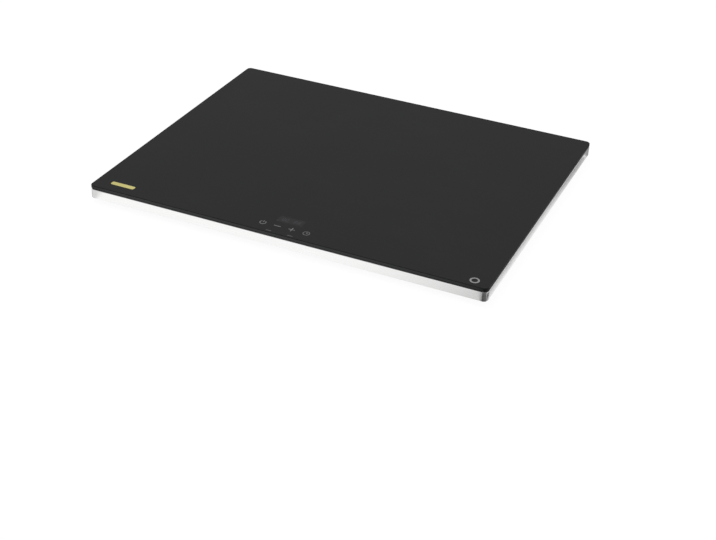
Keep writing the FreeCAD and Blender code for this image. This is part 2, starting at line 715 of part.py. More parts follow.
CHIP = (10.0, 4.0, 1.5)
CHIP_PLACE = (118.0, -141.0)
CHIP_GAP = 0.2  # board to the underside of the package
CHIP_LEG = (0.5, 7.0, 0.5)
CHIP_LEG_PITCH = 1.27
CHIP_LEG_PAIRS = 8


def controller_chip():
    """Small controller package with legs along both long sides."""
    x, y = CHIP_PLACE
    body = block(CHIP, x, y, POWER_TOP + CHIP_GAP)
    body = body.makeChamfer(0.3, flat_edges(body, POWER_TOP + CHIP_GAP + CHIP[2]))
    legs = [
        block(CHIP_LEG, x + (k - (CHIP_LEG_PAIRS - 1) / 2) * CHIP_LEG_PITCH, y, POWER_TOP)
        for k in range(CHIP_LEG_PAIRS)
    ]
    return body.multiFuse(legs).removeSplitter()


MAINS_SOCKET = (12.0, 16.0, 6.8)
MAINS_SOCKET_PLACE = (190.0, -152.0)
HEATER_SOCKET = (20.0, 9.0, 6.4)
HEATER_SOCKET_PLACE = (174.0, -136.0)
RIBBON_SOCKET = (8.0, 12.0, 4.0)
RIBBON_Y = -163.0
SENSOR_SOCKET = (8.0, 7.0, 4.0)
SENSOR_SOCKET_Y = -154.5


def mains_socket():
    """Two-way socket on the power board, with its lead holes facing right."""
    x, y = MAINS_SOCKET_PLACE
    body = block(MAINS_SOCKET, x, y, POWER_TOP)
    body = body.makeChamfer(0.6, flat_edges(body, POWER_TOP + MAINS_SOCKET[2]))
    return cut_all(body, supply_leads())


def heater_socket():
    """Two-way socket on the power board, with its lead holes facing back."""
    x, y = HEATER_SOCKET_PLACE
    body = block(HEATER_SOCKET, x, y, POWER_TOP)
    body = body.makeChamfer(0.6, flat_edges(body, POWER_TOP + HEATER_SOCKET[2]))
    return cut_all(body, heater_leads())


def ribbon_sockets():
    """Flat-cable sockets, on top of the power board and under the touch board."""
    left = POWER_BOARD_X - POWER_BOARD[0] / 2 + 1.0 + RIBBON_SOCKET[0] / 2
    right = TOUCH_BOARD[0] / 2 - 1.0 - RIBBON_SOCKET[0] / 2
    on_power = block(RIBBON_SOCKET, left, RIBBON_Y, POWER_TOP)
    under_touch = block(RIBBON_SOCKET, right, RIBBON_Y, TOUCH_BOTTOM - RIBBON_SOCKET[2])
    return [on_power.cut(panel_ribbon()), under_touch.cut(panel_ribbon())]


def panel_ribbon():
    """Flat cable from the touch board to the power board, laid on the pan."""
    thick, wide, bend = 0.9, 10.0, 4.0
    touch_end = TOUCH_BOARD[0] / 2 - 4.0
    power_end = POWER_BOARD_X - POWER_BOARD[0] / 2 + 4.0
    route = [
        (touch_end, TOUCH_BOTTOM - 2.0), (60.0, TOUCH_BOTTOM - 2.0), (69.0, PAN_TOP + thick / 2),
        (84.0, PAN_TOP + thick / 2), (95.0, POWER_TOP + 2.0), (power_end, POWER_TOP + 2.0),
    ]
    path = lead_path([Vector(x, RIBBON_Y, z) for x, z in route], bend)
    x, z = route[0]
    corners = [
        Vector(x, RIBBON_Y + side * wide / 2, z + edge * thick / 2)
        for side, edge in ((-1, -1), (1, -1), (1, 1), (-1, 1), (-1, -1))
    ]
    return path.makePipeShell([Part.makePolygon(corners)], True, False)


def sensor_socket():
    """Two-way socket under the touch board, for the thermistor's lead."""
    body = block(SENSOR_SOCKET, 0.0, SENSOR_SOCKET_Y, TOUCH_BOTTOM - SENSOR_SOCKET[2])
    return body.cut(sensor_lead())


# ---------------------------------------------------------------- wiring
TERMINAL_BLOCK = (15.0, 20.0, 9.0)
TERMINAL_X = GLAND_X
TERMINAL_Y = 160.0
POLE_PITCH = 5.0
POLE_Z = PAN_TOP + 4.0
CLAMP_SCREW = (3.4, 2.6)  # diameter and length
CLAMP_SLOT = (0.6, 0.8)  # width and depth
EARTH_TAG = 6.4
LEAD_Z = PAN_TOP + LEAD / 2


def earth_place():
    """Place of the earth screw, beside the supply leads."""
    return (TERMINAL_X + POLE_PITCH, 118.0)


def terminal_screw_places():
    """A clamp screw at each end of each pole."""
    xs = [TERMINAL_X + k * POLE_PITCH for k in (-1, 0, 1)]
    return grid(xs, (TERMINAL_Y - 5.0, TERMINAL_Y + 5.0))


def terminal_block():
    """Three-pole screw block where the supply cord's cores are clamped."""
    body = block(TERMINAL_BLOCK, TERMINAL_X, TERMINAL_Y, PAN_TOP)
    body = body.makeChamfer(0.8, flat_edges(body, PAN_TOP + TERMINAL_BLOCK[2]))
    poles = [
        Part.makeCylinder(
            LEAD / 2,
            TERMINAL_BLOCK[1],
            Vector(TERMINAL_X + k * POLE_PITCH, TERMINAL_Y - TERMINAL_BLOCK[1] / 2, POLE_Z),
            Vector(0, 1, 0),
        )
        for k in (-1, 0, 1)
    ]
    wells = [
        post(CLAMP_SCREW[0], TERMINAL_BLOCK[2], x, y, POLE_Z) for x, y in terminal_screw_places()
    ]
    return cut_all(body, poles + wells)


def terminal_screws():
    """Slotted clamp screws down the wells of the terminal block."""
    bottom = POLE_Z + LEAD / 2
    screws = []
    for x, y in terminal_screw_places():
        pin = post(*CLAMP_SCREW, x, y, bottom)
        slot_size = (CLAMP_SCREW[0], *CLAMP_SLOT)
        screws.append(pin.cut(block(slot_size, x, y, bottom + CLAMP_SCREW[1] - CLAMP_SLOT[1])))
    return screws


def supply_leads():
    """Live and neutral leads from the terminal block to the power board."""
    block_face = TERMINAL_Y - TERMINAL_BLOCK[1] / 2
    socket_face = MAINS_SOCKET_PLACE[0] + MAINS_SOCKET[0] / 2
    socket_z = POWER_TOP + 3.0
    leads = []
    for k, y in ((-1, MAINS_SOCKET_PLACE[1] + 3.0), (0, MAINS_SOCKET_PLACE[1] - 3.0)):
        x = TERMINAL_X + k * POLE_PITCH
        leads.append(
            lead(
                LEAD,
                3.0,
                (x, block_face + 3.0, POLE_Z),
                (x, block_face - 8.0, POLE_Z),
                (x, block_face - 16.0, LEAD_Z),
                (x, y, LEAD_Z),
                (socket_face + 11.0, y, LEAD_Z),
                (socket_face + 5.0, y, socket_z),
                (socket_face - 3.0, y, socket_z),
            )
        )
    return leads


def earth_lead():
    """Earth lead from the terminal block to the ring tag under the earth screw."""
    block_face = TERMINAL_Y - TERMINAL_BLOCK[1] / 2
    x, y = earth_place()
    head, shank = BOARD_SCREW[0] + 0.4, BOARD_SCREW[2]
    tag = post(EARTH_TAG, SHEET, x, y, PAN_TOP).cut(post(shank, SHEET, x, y, PAN_TOP))
    wire = lead(
        LEAD,
        3.0,
        (x, block_face + 3.0, POLE_Z),
        (x, block_face - 8.0, POLE_Z),
        (x, block_face - 16.0, LEAD_Z),
        (x, y + 2.4, LEAD_Z),
    )
    wire = wire.cut(post(head, LEAD * 2, x, y, PAN_TOP + SHEET))
    return tag.fuse(wire.cut(post(shank, LEAD * 2, x, y, PAN_TOP)))


def earth_screw():
    """Screw that clamps the earth tag to the pan."""
    x, y = earth_place()
    spec = BOARD_SCREW + (2 * SHEET + SCREW_END,)
    return screw(spec, x, y, PAN_TOP + SHEET, -1)


def heater_leads():
    """Cold leads: left end of the cable to the board, right end to the cut-out, and the
    cut-out to the board."""
    left, right = RUN_XS[0], RUN_XS[-1]
    corner_y = HEAT_FRONT - LEAD_SETBACK
    low = PAN_TOP + HEATER_LEAD / 2
    socket_x, socket_y = HEATER_SOCKET_PLACE
    socket_back = socket_y + HEATER_SOCKET[1] / 2
    socket_z = POWER_TOP + 2.4
    cutout_front = CUTOUT_Y - CUTOUT_SIZE[1] / 2
    from_left = lead(
        HEATER_LEAD,
        2.6,
        (left, HEAT_FRONT, CABLE_AXIS),
        (left, corner_y, CABLE_AXIS),
        (left, corner_y, low),
        (socket_x - 5.0, corner_y, low),
        (socket_x - 5.0, corner_y, socket_z),
        (socket_x - 5.0, socket_back - 3.0, socket_z),
    )
    from_right = lead(
        HEATER_LEAD,
        4.0,
        (right, HEAT_FRONT, CABLE_AXIS),
        (right, corner_y, CABLE_AXIS),
        (CUTOUT_X + 2.0, corner_y, CABLE_AXIS),
        (CUTOUT_X + 2.0, cutout_front, CABLE_AXIS),
    )
    from_cutout = lead(
        HEATER_LEAD,
        4.0,
        (CUTOUT_X - 2.0, cutout_front, CABLE_AXIS),
        (CUTOUT_X - 2.0, HEAT_FRONT + 1.0, CABLE_AXIS),
        (socket_x + 5.0, HEAT_FRONT - 10.0, socket_z),
        (socket_x + 5.0, socket_back - 3.0, socket_z),
    )
    return [from_left, from_right, from_cutout]


def sensor_lead():
    """Thin lead from the thermistor to the touch board."""
    high, low = SPREADER_BOTTOM - SENSOR_DROP, TOUCH_BOTTOM - SENSOR_SOCKET[2] / 2
    return lead(
        SENSOR_LEAD,
        5.0,
        (0.0, SENSOR_Y - SENSOR_BARREL[1] / 2, high),
        (0.0, HEAT_FRONT - 8.0, high),
        (0.0, HEAT_FRONT - 16.0, low),
        (0.0, SENSOR_SOCKET_Y + 0.5, low),
    )


def saddle(size, lead_size, lead_xs):
    """Saddle at the origin with a round-topped channel over each lead that it holds."""
    _, depth, height = size
    body = block(size, 0.0, 0.0, 0.0)
    body = body.makeFillet(0.7, flat_edges(body, height))
    channels = []
    for x in lead_xs:
        start = Vector(x, -depth / 2, lead_size / 2)
        channels.append(Part.makeCylinder(lead_size / 2, depth, start, Vector(0, 1, 0)))
        channels.append(block((lead_size, depth, lead_size / 2), x, 0.0, 0.0))
    return cut_all(body, channels)


PAIR_CLIP = (10.4, 6.0, 3.6)
PAIR_CLIP_YS = (90.0, 0.0, -90.0)
SINGLE_CLIP = (6.0, 5.0, 3.2)
SINGLE_CLIP_XS = (-150.0, -50.0, 50.0, 120.0)


def lead_clips():
    """Nylon saddles stuck to the pan over the leads that they hold down."""
    pair = saddle(PAIR_CLIP, LEAD, (-POLE_PITCH / 2, POLE_PITCH / 2))
    pair_x = TERMINAL_X - POLE_PITCH / 2
    clips = [pair.translated(Vector(pair_x, y, PAN_TOP)) for y in PAIR_CLIP_YS]
    single = saddle(SINGLE_CLIP, HEATER_LEAD, (0.0,))
    single.rotate(Vector(0, 0, 0), Vector(0, 0, 1), 90)
    y = HEAT_FRONT - LEAD_SETBACK
    return clips + [single.translated(Vector(x, y, PAN_TOP)) for x in SINGLE_CLIP_XS]


# ---------------------------------------------------------------- all pieces
PIECES = {
    "glass_top": glass_top,
    "glass_seal": glass_seal,
    "perimeter_frame": perimeter_frame,
    "cord_gland": cord_gland,
    "base_pan": base_pan,
    "base_screws": base_screws,
    "foot_screws": foot_screws,
    "bonding_film": bonding_film,
    "spreader_plate": spreader_plate,
    "heating_cable": heating_cable,
    "cable_retainers": cable_retainers,
    "cable_crimps": cable_crimps,
    "insulation_blanket": insulation_blanket,
    "temperature_sensor": temperature_sensor,
    "thermal_cutout": thermal_cutout,
    "panel_carrier": panel_carrier,
    "touch_board": touch_board,
    "touch_pads": touch_pads,
    "display_module": display_module,
    "key_lamps": key_lamps,
    "panel_screws": panel_screws,
    "power_board": power_board,
    "board_standoffs": board_standoffs,
    "board_screws": board_screws,
    "triac_heatsink": triac_heatsink,
    "triac": triac,
    "suppression_capacitor": suppression_capacitor,
    "smoothing_capacitor": smoothing_capacitor,
    "mains_fuse": mains_fuse,
    "fuse_clips": fuse_clips,
    "controller_chip": controller_chip,
    "mains_socket": mains_socket,
    "heater_socket": heater_socket,
    "ribbon_sockets": ribbon_sockets,
    "panel_ribbon": panel_ribbon,
    "sensor_socket": sensor_socket,
    "terminal_block": terminal_block,
    "terminal_screws": terminal_screws,
    "supply_leads": supply_leads,
    "earth_lead": earth_lead,
    "earth_screw": earth_screw,
    "heater_leads": heater_leads,
    "sensor_lead": sensor_lead,
    "lead_clips": lead_clips,
}
FOOT_NAMES = ("foot_front_left", "foot_front_right", "foot_back_left", "foot_back_right")


def save(name, made):
    """Writes one node, a solid or a list of solids, as a STEP file."""
    shape = Part.makeCompound(made) if isinstance(made, list) else made
    shape.exportStep(os.path.join("parts", name + ".step"))
    print(f"{name:24s} solids {len(shape.Solids):3d}  volume {shape.Volume:12.2f} mm3")


def main():
    os.makedirs("parts", exist_ok=True)
    for name, make in PIECES.items():
        save(name, make())
    for name, (x, y) in zip(FOOT_NAMES, foot_places()):
        save(name, rubber_foot(x, y))


main()
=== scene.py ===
# %% [markdown]
# # An electric food warmer tray
#
# This lesson dresses a slim countertop warming tray: a black glass top on a bright metal
# frame, with touch keys at the front and a heating cable inside. The solid model of every
# piece is made already, so the work here is the camera, the light, the finish of each
# piece, and the marks printed on the glass.

# %% Load the solid model
import bmesh
import bpy
import math
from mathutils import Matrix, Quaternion, Vector


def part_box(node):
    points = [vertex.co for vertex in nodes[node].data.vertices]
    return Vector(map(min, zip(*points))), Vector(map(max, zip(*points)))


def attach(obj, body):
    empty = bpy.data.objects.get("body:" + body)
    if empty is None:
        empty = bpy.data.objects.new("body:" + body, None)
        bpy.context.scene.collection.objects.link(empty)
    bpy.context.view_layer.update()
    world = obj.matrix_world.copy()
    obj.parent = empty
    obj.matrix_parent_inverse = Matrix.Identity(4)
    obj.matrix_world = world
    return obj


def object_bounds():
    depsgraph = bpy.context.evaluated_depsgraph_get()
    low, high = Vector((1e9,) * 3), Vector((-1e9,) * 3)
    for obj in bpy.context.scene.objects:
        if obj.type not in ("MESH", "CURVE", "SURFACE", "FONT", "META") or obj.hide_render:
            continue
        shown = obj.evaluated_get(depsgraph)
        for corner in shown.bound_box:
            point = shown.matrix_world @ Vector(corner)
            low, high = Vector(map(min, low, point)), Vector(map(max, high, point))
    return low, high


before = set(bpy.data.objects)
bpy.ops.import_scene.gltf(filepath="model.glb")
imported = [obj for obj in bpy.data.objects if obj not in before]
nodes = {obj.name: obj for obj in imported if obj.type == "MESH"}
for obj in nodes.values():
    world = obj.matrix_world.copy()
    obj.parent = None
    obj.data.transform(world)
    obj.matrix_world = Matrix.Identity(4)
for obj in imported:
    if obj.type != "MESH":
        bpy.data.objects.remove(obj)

solid_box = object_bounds()
overall_mm = [round(1000 * side) for side in solid_box[1] - solid_box[0]]
print(len(nodes), "pieces, overall size in mm:", overall_mm)

# %% [markdown]
# ## Sizes that the later steps share
#
# Blender works in metres, so a small constant for the millimetre keeps the sizes readable.
# Everything else is read from the model: the glass tells us where its edges and its upper
# face are, and the foam pillars under the glass tell us where the keys are. The printed
# marks then stay right if the tray is ever made wider.

# %% Read the glass and the keys
MM = 0.001
glass_low, glass_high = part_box("glass_top")
FRONT_EDGE = glass_low.y
BACK_EDGE = glass_high.y
LEFT_EDGE = glass_low.x
RIGHT_EDGE = glass_high.x
GLASS_FACE = glass_high.z

pads_low, pads_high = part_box("touch_pads")
KEY_Y = (pads_low.y + pads_high.y) / 2
PAD_RADIUS = (pads_high.y - pads_low.y) / 2
FIRST_KEY = pads_low.x + PAD_RADIUS
LAST_KEY = pads_high.x - PAD_RADIUS
print("glass face is", round(GLASS_FACE / MM, 2), "mm above the table")
print("keys are", round((KEY_Y - FRONT_EDGE) / MM, 1), "mm behind the front edge")

# %% [markdown]
# ## Camera
#
# A longish lens from above and to the right of the front shows the whole top and two edges.
# The camera is placed by what it looks at, how far away it stands, and three angles. The
# last angle, the roll, tips the picture a little, as a hand-held camera does.

# %% Place the camera
AIM = Vector((111.1, -227.4, 23.0)) * MM
DISTANCE = 1445.2 * MM
AZIMUTH = math.radians(22.83)
ELEVATION = math.radians(31.67)
ROLL = math.radians(2.50)
LENS_MM = 67.40


def place_camera():
    back = Vector((
        math.sin(AZIMUTH) * math.cos(ELEVATION),
        -math.cos(AZIMUTH) * math.cos(ELEVATION),
        math.sin(ELEVATION),
    ))
    data = bpy.data.cameras.new("camera")
    data.lens = LENS_MM
    camera = bpy.data.objects.new("camera", data)
    bpy.context.scene.collection.objects.link(camera)
    camera.location = AIM + DISTANCE * back
    camera.rotation_mode = "QUATERNION"
    level = (-back).to_track_quat("-Z", "Y")
    camera.rotation_quaternion = level @ Quaternion((0, 0, 1), ROLL)
    bpy.context.scene.camera = camera
    return camera


camera = place_camera()
print("camera at", [round(c, 3) for c in camera.location])

# %% [markdown]
# ## Small helpers for node trees
#
# A material is a graph of nodes. Making one takes the same few steps again and again: add a
# node and set its inputs, join it to the next, do a sum, or go from one colour to another
# as a mask goes from 0 to 1. With these helpers a material below reads as a list of what it
# is made of. Wherever a helper takes a value, it takes a number or another node's output.

# %% Helpers: add, join and feed
def add(tree, kind, **inputs):
    """Adds a node and sets the named inputs, with spaces written as underscores."""
    node = tree.nodes.new(kind)
    for name, value in inputs.items():
        socket = node.inputs[name.replace("_", " ")]
        socket.default_value = (*value, 1.0) if socket.type == "RGBA" else value
    return node


def join(tree, *pairs):
    """Joins each (output, input) pair."""
    for source, target in pairs:
        tree.links.new(source, target)


def feed(tree, value, socket):
    """Puts a number, a colour or another node's output into a socket."""
    if isinstance(value, bpy.types.NodeSocket):
        tree.links.new(value, socket)
    else:
        socket.default_value = (*value, 1.0) if socket.type == "RGBA" else value


def grey(level):
    return (level, level, level)


# %% [markdown]
# ### Sums and mixes
#
# A mask is a number from 0 to 1 that is worked out for each point, and it is made of small
# sums. Two of them do most of the work here. Stretch takes the part of a slow change that
# is wanted and makes it run from 0 to 1. Mix lays one colour or number over another.

# %% Helpers: sums, stretch and mix
def calculate(tree, operation, *terms):
    """One sum on numbers or outputs."""
    node = tree.nodes.new("ShaderNodeMath")
    node.operation = operation
    for term, socket in zip(terms, node.inputs):
        feed(tree, term, socket)
    return node.outputs[0]


def plus(tree, *terms):
    return calculate(tree, "ADD", *terms)


def minus(tree, *terms):
    return calculate(tree, "SUBTRACT", *terms)


def times(tree, *terms):
    return calculate(tree, "MULTIPLY", *terms)


def over(tree, *terms):
    return calculate(tree, "DIVIDE", *terms)


def stretch(tree, value, low, high, to_low=0.0, to_high=1.0):
    """Maps low..high to to_low..to_high, and stays flat beyond them."""
    node = tree.nodes.new("ShaderNodeMapRange")
    for socket, limit in zip(node.inputs[1:5], (low, high, to_low, to_high)):
        socket.default_value = limit
    feed(tree, value, node.inputs["Value"])
    return node.outputs["Result"]


def mix(tree, mask, first, second):
    """Goes from the first colour or number to the second as the mask goes from 0 to 1."""
    node = tree.nodes.new("ShaderNodeMix")
    is_colour = isinstance(second, tuple)
    node.data_type = "RGBA" if is_colour else "FLOAT"
    at = 6 if is_colour else 2
    feed(tree, mask, node.inputs[0])
    feed(tree, first, node.inputs[at])
    feed(tree, second, node.inputs[at + 1])
    return node.outputs[2 if is_colour else 0]


# %% [markdown]
# ### Where a point is
#
# Grain and grooves belong to the piece, so they are laid out by the place of each point in
# the frame of its own object, in metres, and stay put when the camera moves. All pieces of
# the tray share one frame, so sizes that are read from the model can be compared with it.

# %% Helpers: place
def object_place(tree):
    """The point being shaded, in metres, in the frame of its own object."""
    return tree.nodes.new("ShaderNodeTexCoord").outputs["Object"]


def place_xyz(tree):
    """The same point as three outputs, X, Y and Z."""
    split = tree.nodes.new("ShaderNodeSeparateXYZ")
    join(tree, (object_place(tree), split.inputs[0]))
    return split.outputs


# %% [markdown]
# ## World: a plain white studio
#
# The room is a white sweep. The camera sees it as pure white. As a light it is weaker, so
# that a colour on the tray comes out about as it is written. A polished surface sees the
# sweep too, white near the horizon and fading to the darker ceiling of the room, which is
# what keeps the black glass black.

# %% Build the world
AMBIENT = 0.64
CEILING = 0.13
SWEEP_TOP = 0.38  # sine of the angle above the horizon where the sweep ends


def build_world():
    world = bpy.data.worlds.new("studio_room")
    bpy.context.scene.world = world
    world.use_nodes = True
    tree = world.node_tree
    tree.nodes.clear()
    direction = add(tree, "ShaderNodeTexCoord").outputs["Generated"]
    split = add(tree, "ShaderNodeSeparateXYZ")
    fade = add(tree, "ShaderNodeMapRange", From_Max=SWEEP_TOP, To_Min=1.0, To_Max=CEILING)
    fade.interpolation_type = "SMOOTHSTEP"
    light = add(tree, "ShaderNodeBackground", Color=grey(1.0), Strength=AMBIENT)
    mirrored = add(tree, "ShaderNodeBackground", Color=grey(1.0))
    white = add(tree, "ShaderNodeBackground", Color=grey(1.0), Strength=1.0)
    rays = add(tree, "ShaderNodeLightPath").outputs
    shiny = calculate(tree, "MAXIMUM", rays["Is Glossy Ray"], rays["Is Transmission Ray"])
    first = add(tree, "ShaderNodeMixShader")
    second = add(tree, "ShaderNodeMixShader")
    output = add(tree, "ShaderNodeOutputWorld")
    join(
        tree,
        (direction, split.inputs[0]),
        (split.outputs["Z"], fade.inputs["Value"]),
        (fade.outputs["Result"], mirrored.inputs["Strength"]),
        (shiny, first.inputs[0]),
        (light.outputs[0], first.inputs[1]),
        (mirrored.outputs[0], first.inputs[2]),
        (rays["Is Camera Ray"], second.inputs[0]),
        (first.outputs[0], second.inputs[1]),
        (white.outputs[0], second.inputs[2]),
        (second.outputs[0], output.inputs["Surface"]),
    )


build_world()
bpy.context.scene.view_settings.view_transform = "Standard"
print("world: light", AMBIENT, "and ceiling", CEILING)

# %% [markdown]
# ## Floor: a light table
#
# The tray stands on a pale shooting table that is lit from below, as the ones for product
# pictures are. As a source of light it is plain matt grey. The camera and the reflections
# also see it glow, which makes it white, and what is left of its matt side carries the
# tray's soft shadow. Under the tray the glow fades out, so that a low view finds the dark
# gap there that shows the tray standing on its feet.

# %% Helper: the shade under the tray
SHADE_START = 9 * MM  # how far under the tray the glow starts to fade
SHADE_END = 40 * MM  # and where it has faded
SHADE_LEFT = 0.2  # share of the glow that is left well under the tray


def clear_of_tray(tree):
    """A mask that is 1 beside the tray and fades to SHADE_LEFT well under it."""
    place = place_xyz(tree)
    inside = 1.0
    for axis, low, high in (("X", LEFT_EDGE, RIGHT_EDGE), ("Y", FRONT_EDGE, BACK_EDGE)):
        middle, half = (low + high) / 2, (high - low) / 2
        off = calculate(tree, "ABSOLUTE", minus(tree, place[axis], middle))
        under = stretch(tree, off, half - SHADE_END, half - SHADE_START, 1.0, 0.0)
        inside = times(tree, inside, under)
    return stretch(tree, inside, 0.0, 1.0, 1.0, SHADE_LEFT)


# %% [markdown]
# ### The table itself
#
# The table is one flat disc, large enough that no view meets its rim. Its material is a
# mix of two shaders: a matt one that takes light and shadow, and a glowing one. A Light Path
# node says which kind of ray has arrived, and so which of the two it finds.

# %% Build the floor
FLOOR_RADIUS = 8.0
FLOOR_TONE = 0.80
GLOW_SHARE = 0.91
GLOW_STRENGTH = 1.04


def floor_material():
    material = bpy.data.materials.new("light_table")
    material.use_nodes = True
    tree = material.node_tree
    tree.nodes.clear()
    matt = add(tree, "ShaderNodeBsdfDiffuse", Color=grey(FLOOR_TONE))
    glow = add(tree, "ShaderNodeEmission", Color=grey(1.0), Strength=GLOW_STRENGTH)
    rays = add(tree, "ShaderNodeLightPath").outputs
    seen = calculate(tree, "MAXIMUM", rays["Is Camera Ray"], rays["Is Glossy Ray"])
    seen = calculate(tree, "MAXIMUM", seen, rays["Is Transmission Ray"])
    glow_here = times(tree, clear_of_tray(tree), GLOW_SHARE)
    both = add(tree, "ShaderNodeMixShader")
    output = add(tree, "ShaderNodeOutputMaterial")
    join(
        tree,
        (times(tree, seen, glow_here), both.inputs[0]),
        (matt.outputs[0], both.inputs[1]),
        (glow.outputs[0], both.inputs[2]),
        (both.outputs[0], output.inputs["Surface"]),
    )
    return material


def build_floor():
    mesh = bpy.data.meshes.new("table")
    shape = bmesh.new()
    bmesh.ops.create_circle(shape, cap_ends=True, segments=64, radius=FLOOR_RADIUS)
    shape.to_mesh(mesh)
    shape.free()
    table = bpy.data.objects.new("table", mesh)
    bpy.context.scene.collection.objects.link(table)
    table.data.materials.append(floor_material())


build_floor()
print("table is", 2 * FLOOR_RADIUS, "m across")

# %% [markdown]
# ## Lamp
#
# One big soft lamp hangs nearly overhead, a little to the left. It lights the tray but is
# kept out of its reflections: as a mirror, the black glass would show the lamp as a grey
# disc, and the ground bevels would draw it as a bright line.

# %% Hang the lamp
LAMP_PLACE = Vector((-0.7, 0.1, 2.9))
LAMP_SIZE = 1.8
LAMP_POWER = 36.0


def hang_lamp():
    data = bpy.data.lights.new("soft_lamp", "AREA")
    data.shape = "DISK"
    data.size = LAMP_SIZE
    data.energy = LAMP_POWER
    lamp = bpy.data.objects.new("soft_lamp", data)
    bpy.context.scene.collection.objects.link(lamp)
    lamp.location = LAMP_PLACE
    lamp.rotation_mode = "QUATERNION"
    lamp.rotation_quaternion = (-LAMP_PLACE).to_track_quat("-Z", "Y")
    lamp.visible_glossy = False


hang_lamp()
print("lamp is", round(LAMP_PLACE.length, 2), "m from the tray")

# %% [markdown]
# ## Black cards for the corners: painted shade
#
# On a white table a bright metal corner has nothing to reflect but white, and it melts into
# the background. The studio's answer is a black card beside such a corner: the rounded metal
# picks it up as a thin dark line and its shape can be read again. Only reflections see these
# cards, so that dark line is a painted reflection, which stands in for the shade of the corner.
# Each is a fan that faces outwards from the foot of its corner and leans up a little,
# and it fades to nothing at its rim, so that the straight sides of the tray stay bright.

# %% Helper: a card that only reflections see
# Near black: what a card gives the metal is a painted dark reflection, a painted shade.
CARD_TONE = 0.01


def faded_card(name, points, opacity):
    """A flat card with the outline given, as opaque as the function opacity(tree) says."""
    mesh = bpy.data.meshes.new(name)
    shape = bmesh.new()
    shape.faces.new([shape.verts.new((px, py, 0)) for px, py in points])
    shape.to_mesh(mesh)
    shape.free()
    card = bpy.data.objects.new(name, mesh)
    bpy.context.scene.collection.objects.link(card)
    material = bpy.data.materials.new(name)
    material.use_nodes = True
    tree = material.node_tree
    tree.nodes.clear()
    clear = add(tree, "ShaderNodeBsdfTransparent")
    dark = add(tree, "ShaderNodeBsdfDiffuse", Color=grey(CARD_TONE))
    both = add(tree, "ShaderNodeMixShader")
    output = add(tree, "ShaderNodeOutputMaterial")
    join(
        tree,
        (opacity(tree), both.inputs[0]),
        (clear.outputs[0], both.inputs[1]),
        (dark.outputs[0], both.inputs[2]),
        (both.outputs[0], output.inputs["Surface"]),
    )
    mesh.materials.append(material)
    card.visible_camera = False
    card.visible_diffuse = False
    card.visible_transmission = False
    card.visible_shadow = False
    return card


# %% [markdown]
# ### A fan at each corner
#
# The tip of the fan lies under the middle of the corner's curve. Its opacity is the product
# of two fades, one by the angle off its middle line and one by the distance from its tip. A
# corner that turns away from the light needs a stronger card, and one turned a little off
# the diagonal darkens one of the corner's two sides more than the other.

# %% Put a fan at each corner
CARD_HEIGHT = 0.4 * MM
CARD_INSET = 6 * MM  # the fan starts under the middle of the corner's curve
CARD_REACH = 110 * MM
CARD_SOLID = 60 * MM  # the card is as dark as it gets out to here
CARD_LEAN = math.radians(24)
CARD_FADE = math.radians(10)


def fan_points(half_angle, steps=16):
    rim = [(k / steps * 2 - 1) * half_angle for k in range(steps + 1)]
    return [(0, 0)] + [(CARD_REACH * math.cos(a), CARD_REACH * math.sin(a)) for a in rim]


def corner_shade_card(name, side_x, side_y, strength, spread, turn):
    """A fan at one corner. Spread is half its angle, and turn aims it off the diagonal."""
    spread, turn = math.radians(spread), math.radians(turn)

    def opacity(tree):
        x, y, _ = place_xyz(tree)
        angle = calculate(tree, "ABSOLUTE", calculate(tree, "ARCTAN2", y, x))
        reach = calculate(tree, "SQRT", plus(tree, times(tree, x, x), times(tree, y, y)))
        inside = stretch(tree, angle, spread - CARD_FADE, spread + CARD_FADE, 1.0, 0.0)
        near = stretch(tree, reach, CARD_SOLID, CARD_REACH, strength, 0.0)
        return times(tree, inside, near)

    card = faded_card(name, fan_points(spread + CARD_FADE), opacity)
    edge_x = RIGHT_EDGE if side_x > 0 else LEFT_EDGE
    edge_y = BACK_EDGE if side_y > 0 else FRONT_EDGE
    card.location = (edge_x - side_x * CARD_INSET, edge_y - side_y * CARD_INSET, CARD_HEIGHT)
    card.rotation_euler = (0, -CARD_LEAN, math.atan2(side_y, side_x) + turn)


corner_shade_card("shade_card_front_right", 1, -1, strength=0.9, spread=40, turn=-16)
corner_shade_card("shade_card_back_right", 1, 1, strength=0.7, spread=45, turn=15)
corner_shade_card("shade_card_front_left", -1, -1, strength=0.3, spread=40, turn=0)
corner_shade_card("shade_card_back_left", -1, 1, strength=0.5, spread=60, turn=0)
print("four corner cards, each", round(CARD_REACH / MM), "mm long")

# %% [markdown]
# ## Painted shade strips round the tray
#
# The upright metal mirrors the table close to its foot in its lower part, and the table
# further out in its upper part. A thin grey strip on the table dims what it shows, which
# paints shade on the metal, and by where the strip is thick one can choose how high up the
# metal gets dark. Like the cards, the strips are there for reflections only.

# %% Helper: a strip of painted shade
STRIP_HEIGHT = 0.2 * MM
STRIP_REACH = 60 * MM  # width of the strips on the right and in front
REAR_REACH = 100 * MM  # and of those on the left and at the back


# Only reflections see a strip, so the dark it gives the metal is painted shade.
def shade_strip(name, start, end, opacity):
    """A rectangle on the table between two corners, given in metres."""
    (x0, y0), (x1, y1) = start, end
    card = faded_card(name, [(x0, y0), (x1, y0), (x1, y1), (x0, y1)], opacity)
    card.location.z = STRIP_HEIGHT
    print(name, "is", round((x1 - x0) / MM), "by", round((y1 - y0) / MM), "mm")


# %% [markdown]
# ### Painted shade on the right
#
# The right side of the tray turns away from the light, and this strip paints that shade on
# its metal. A strip that thickens outwards makes it dark under the glass and bright towards
# its lower edge, and at its back end the dark reaches lower down. Further out the strip thins
# again, so that it has no hard rim.

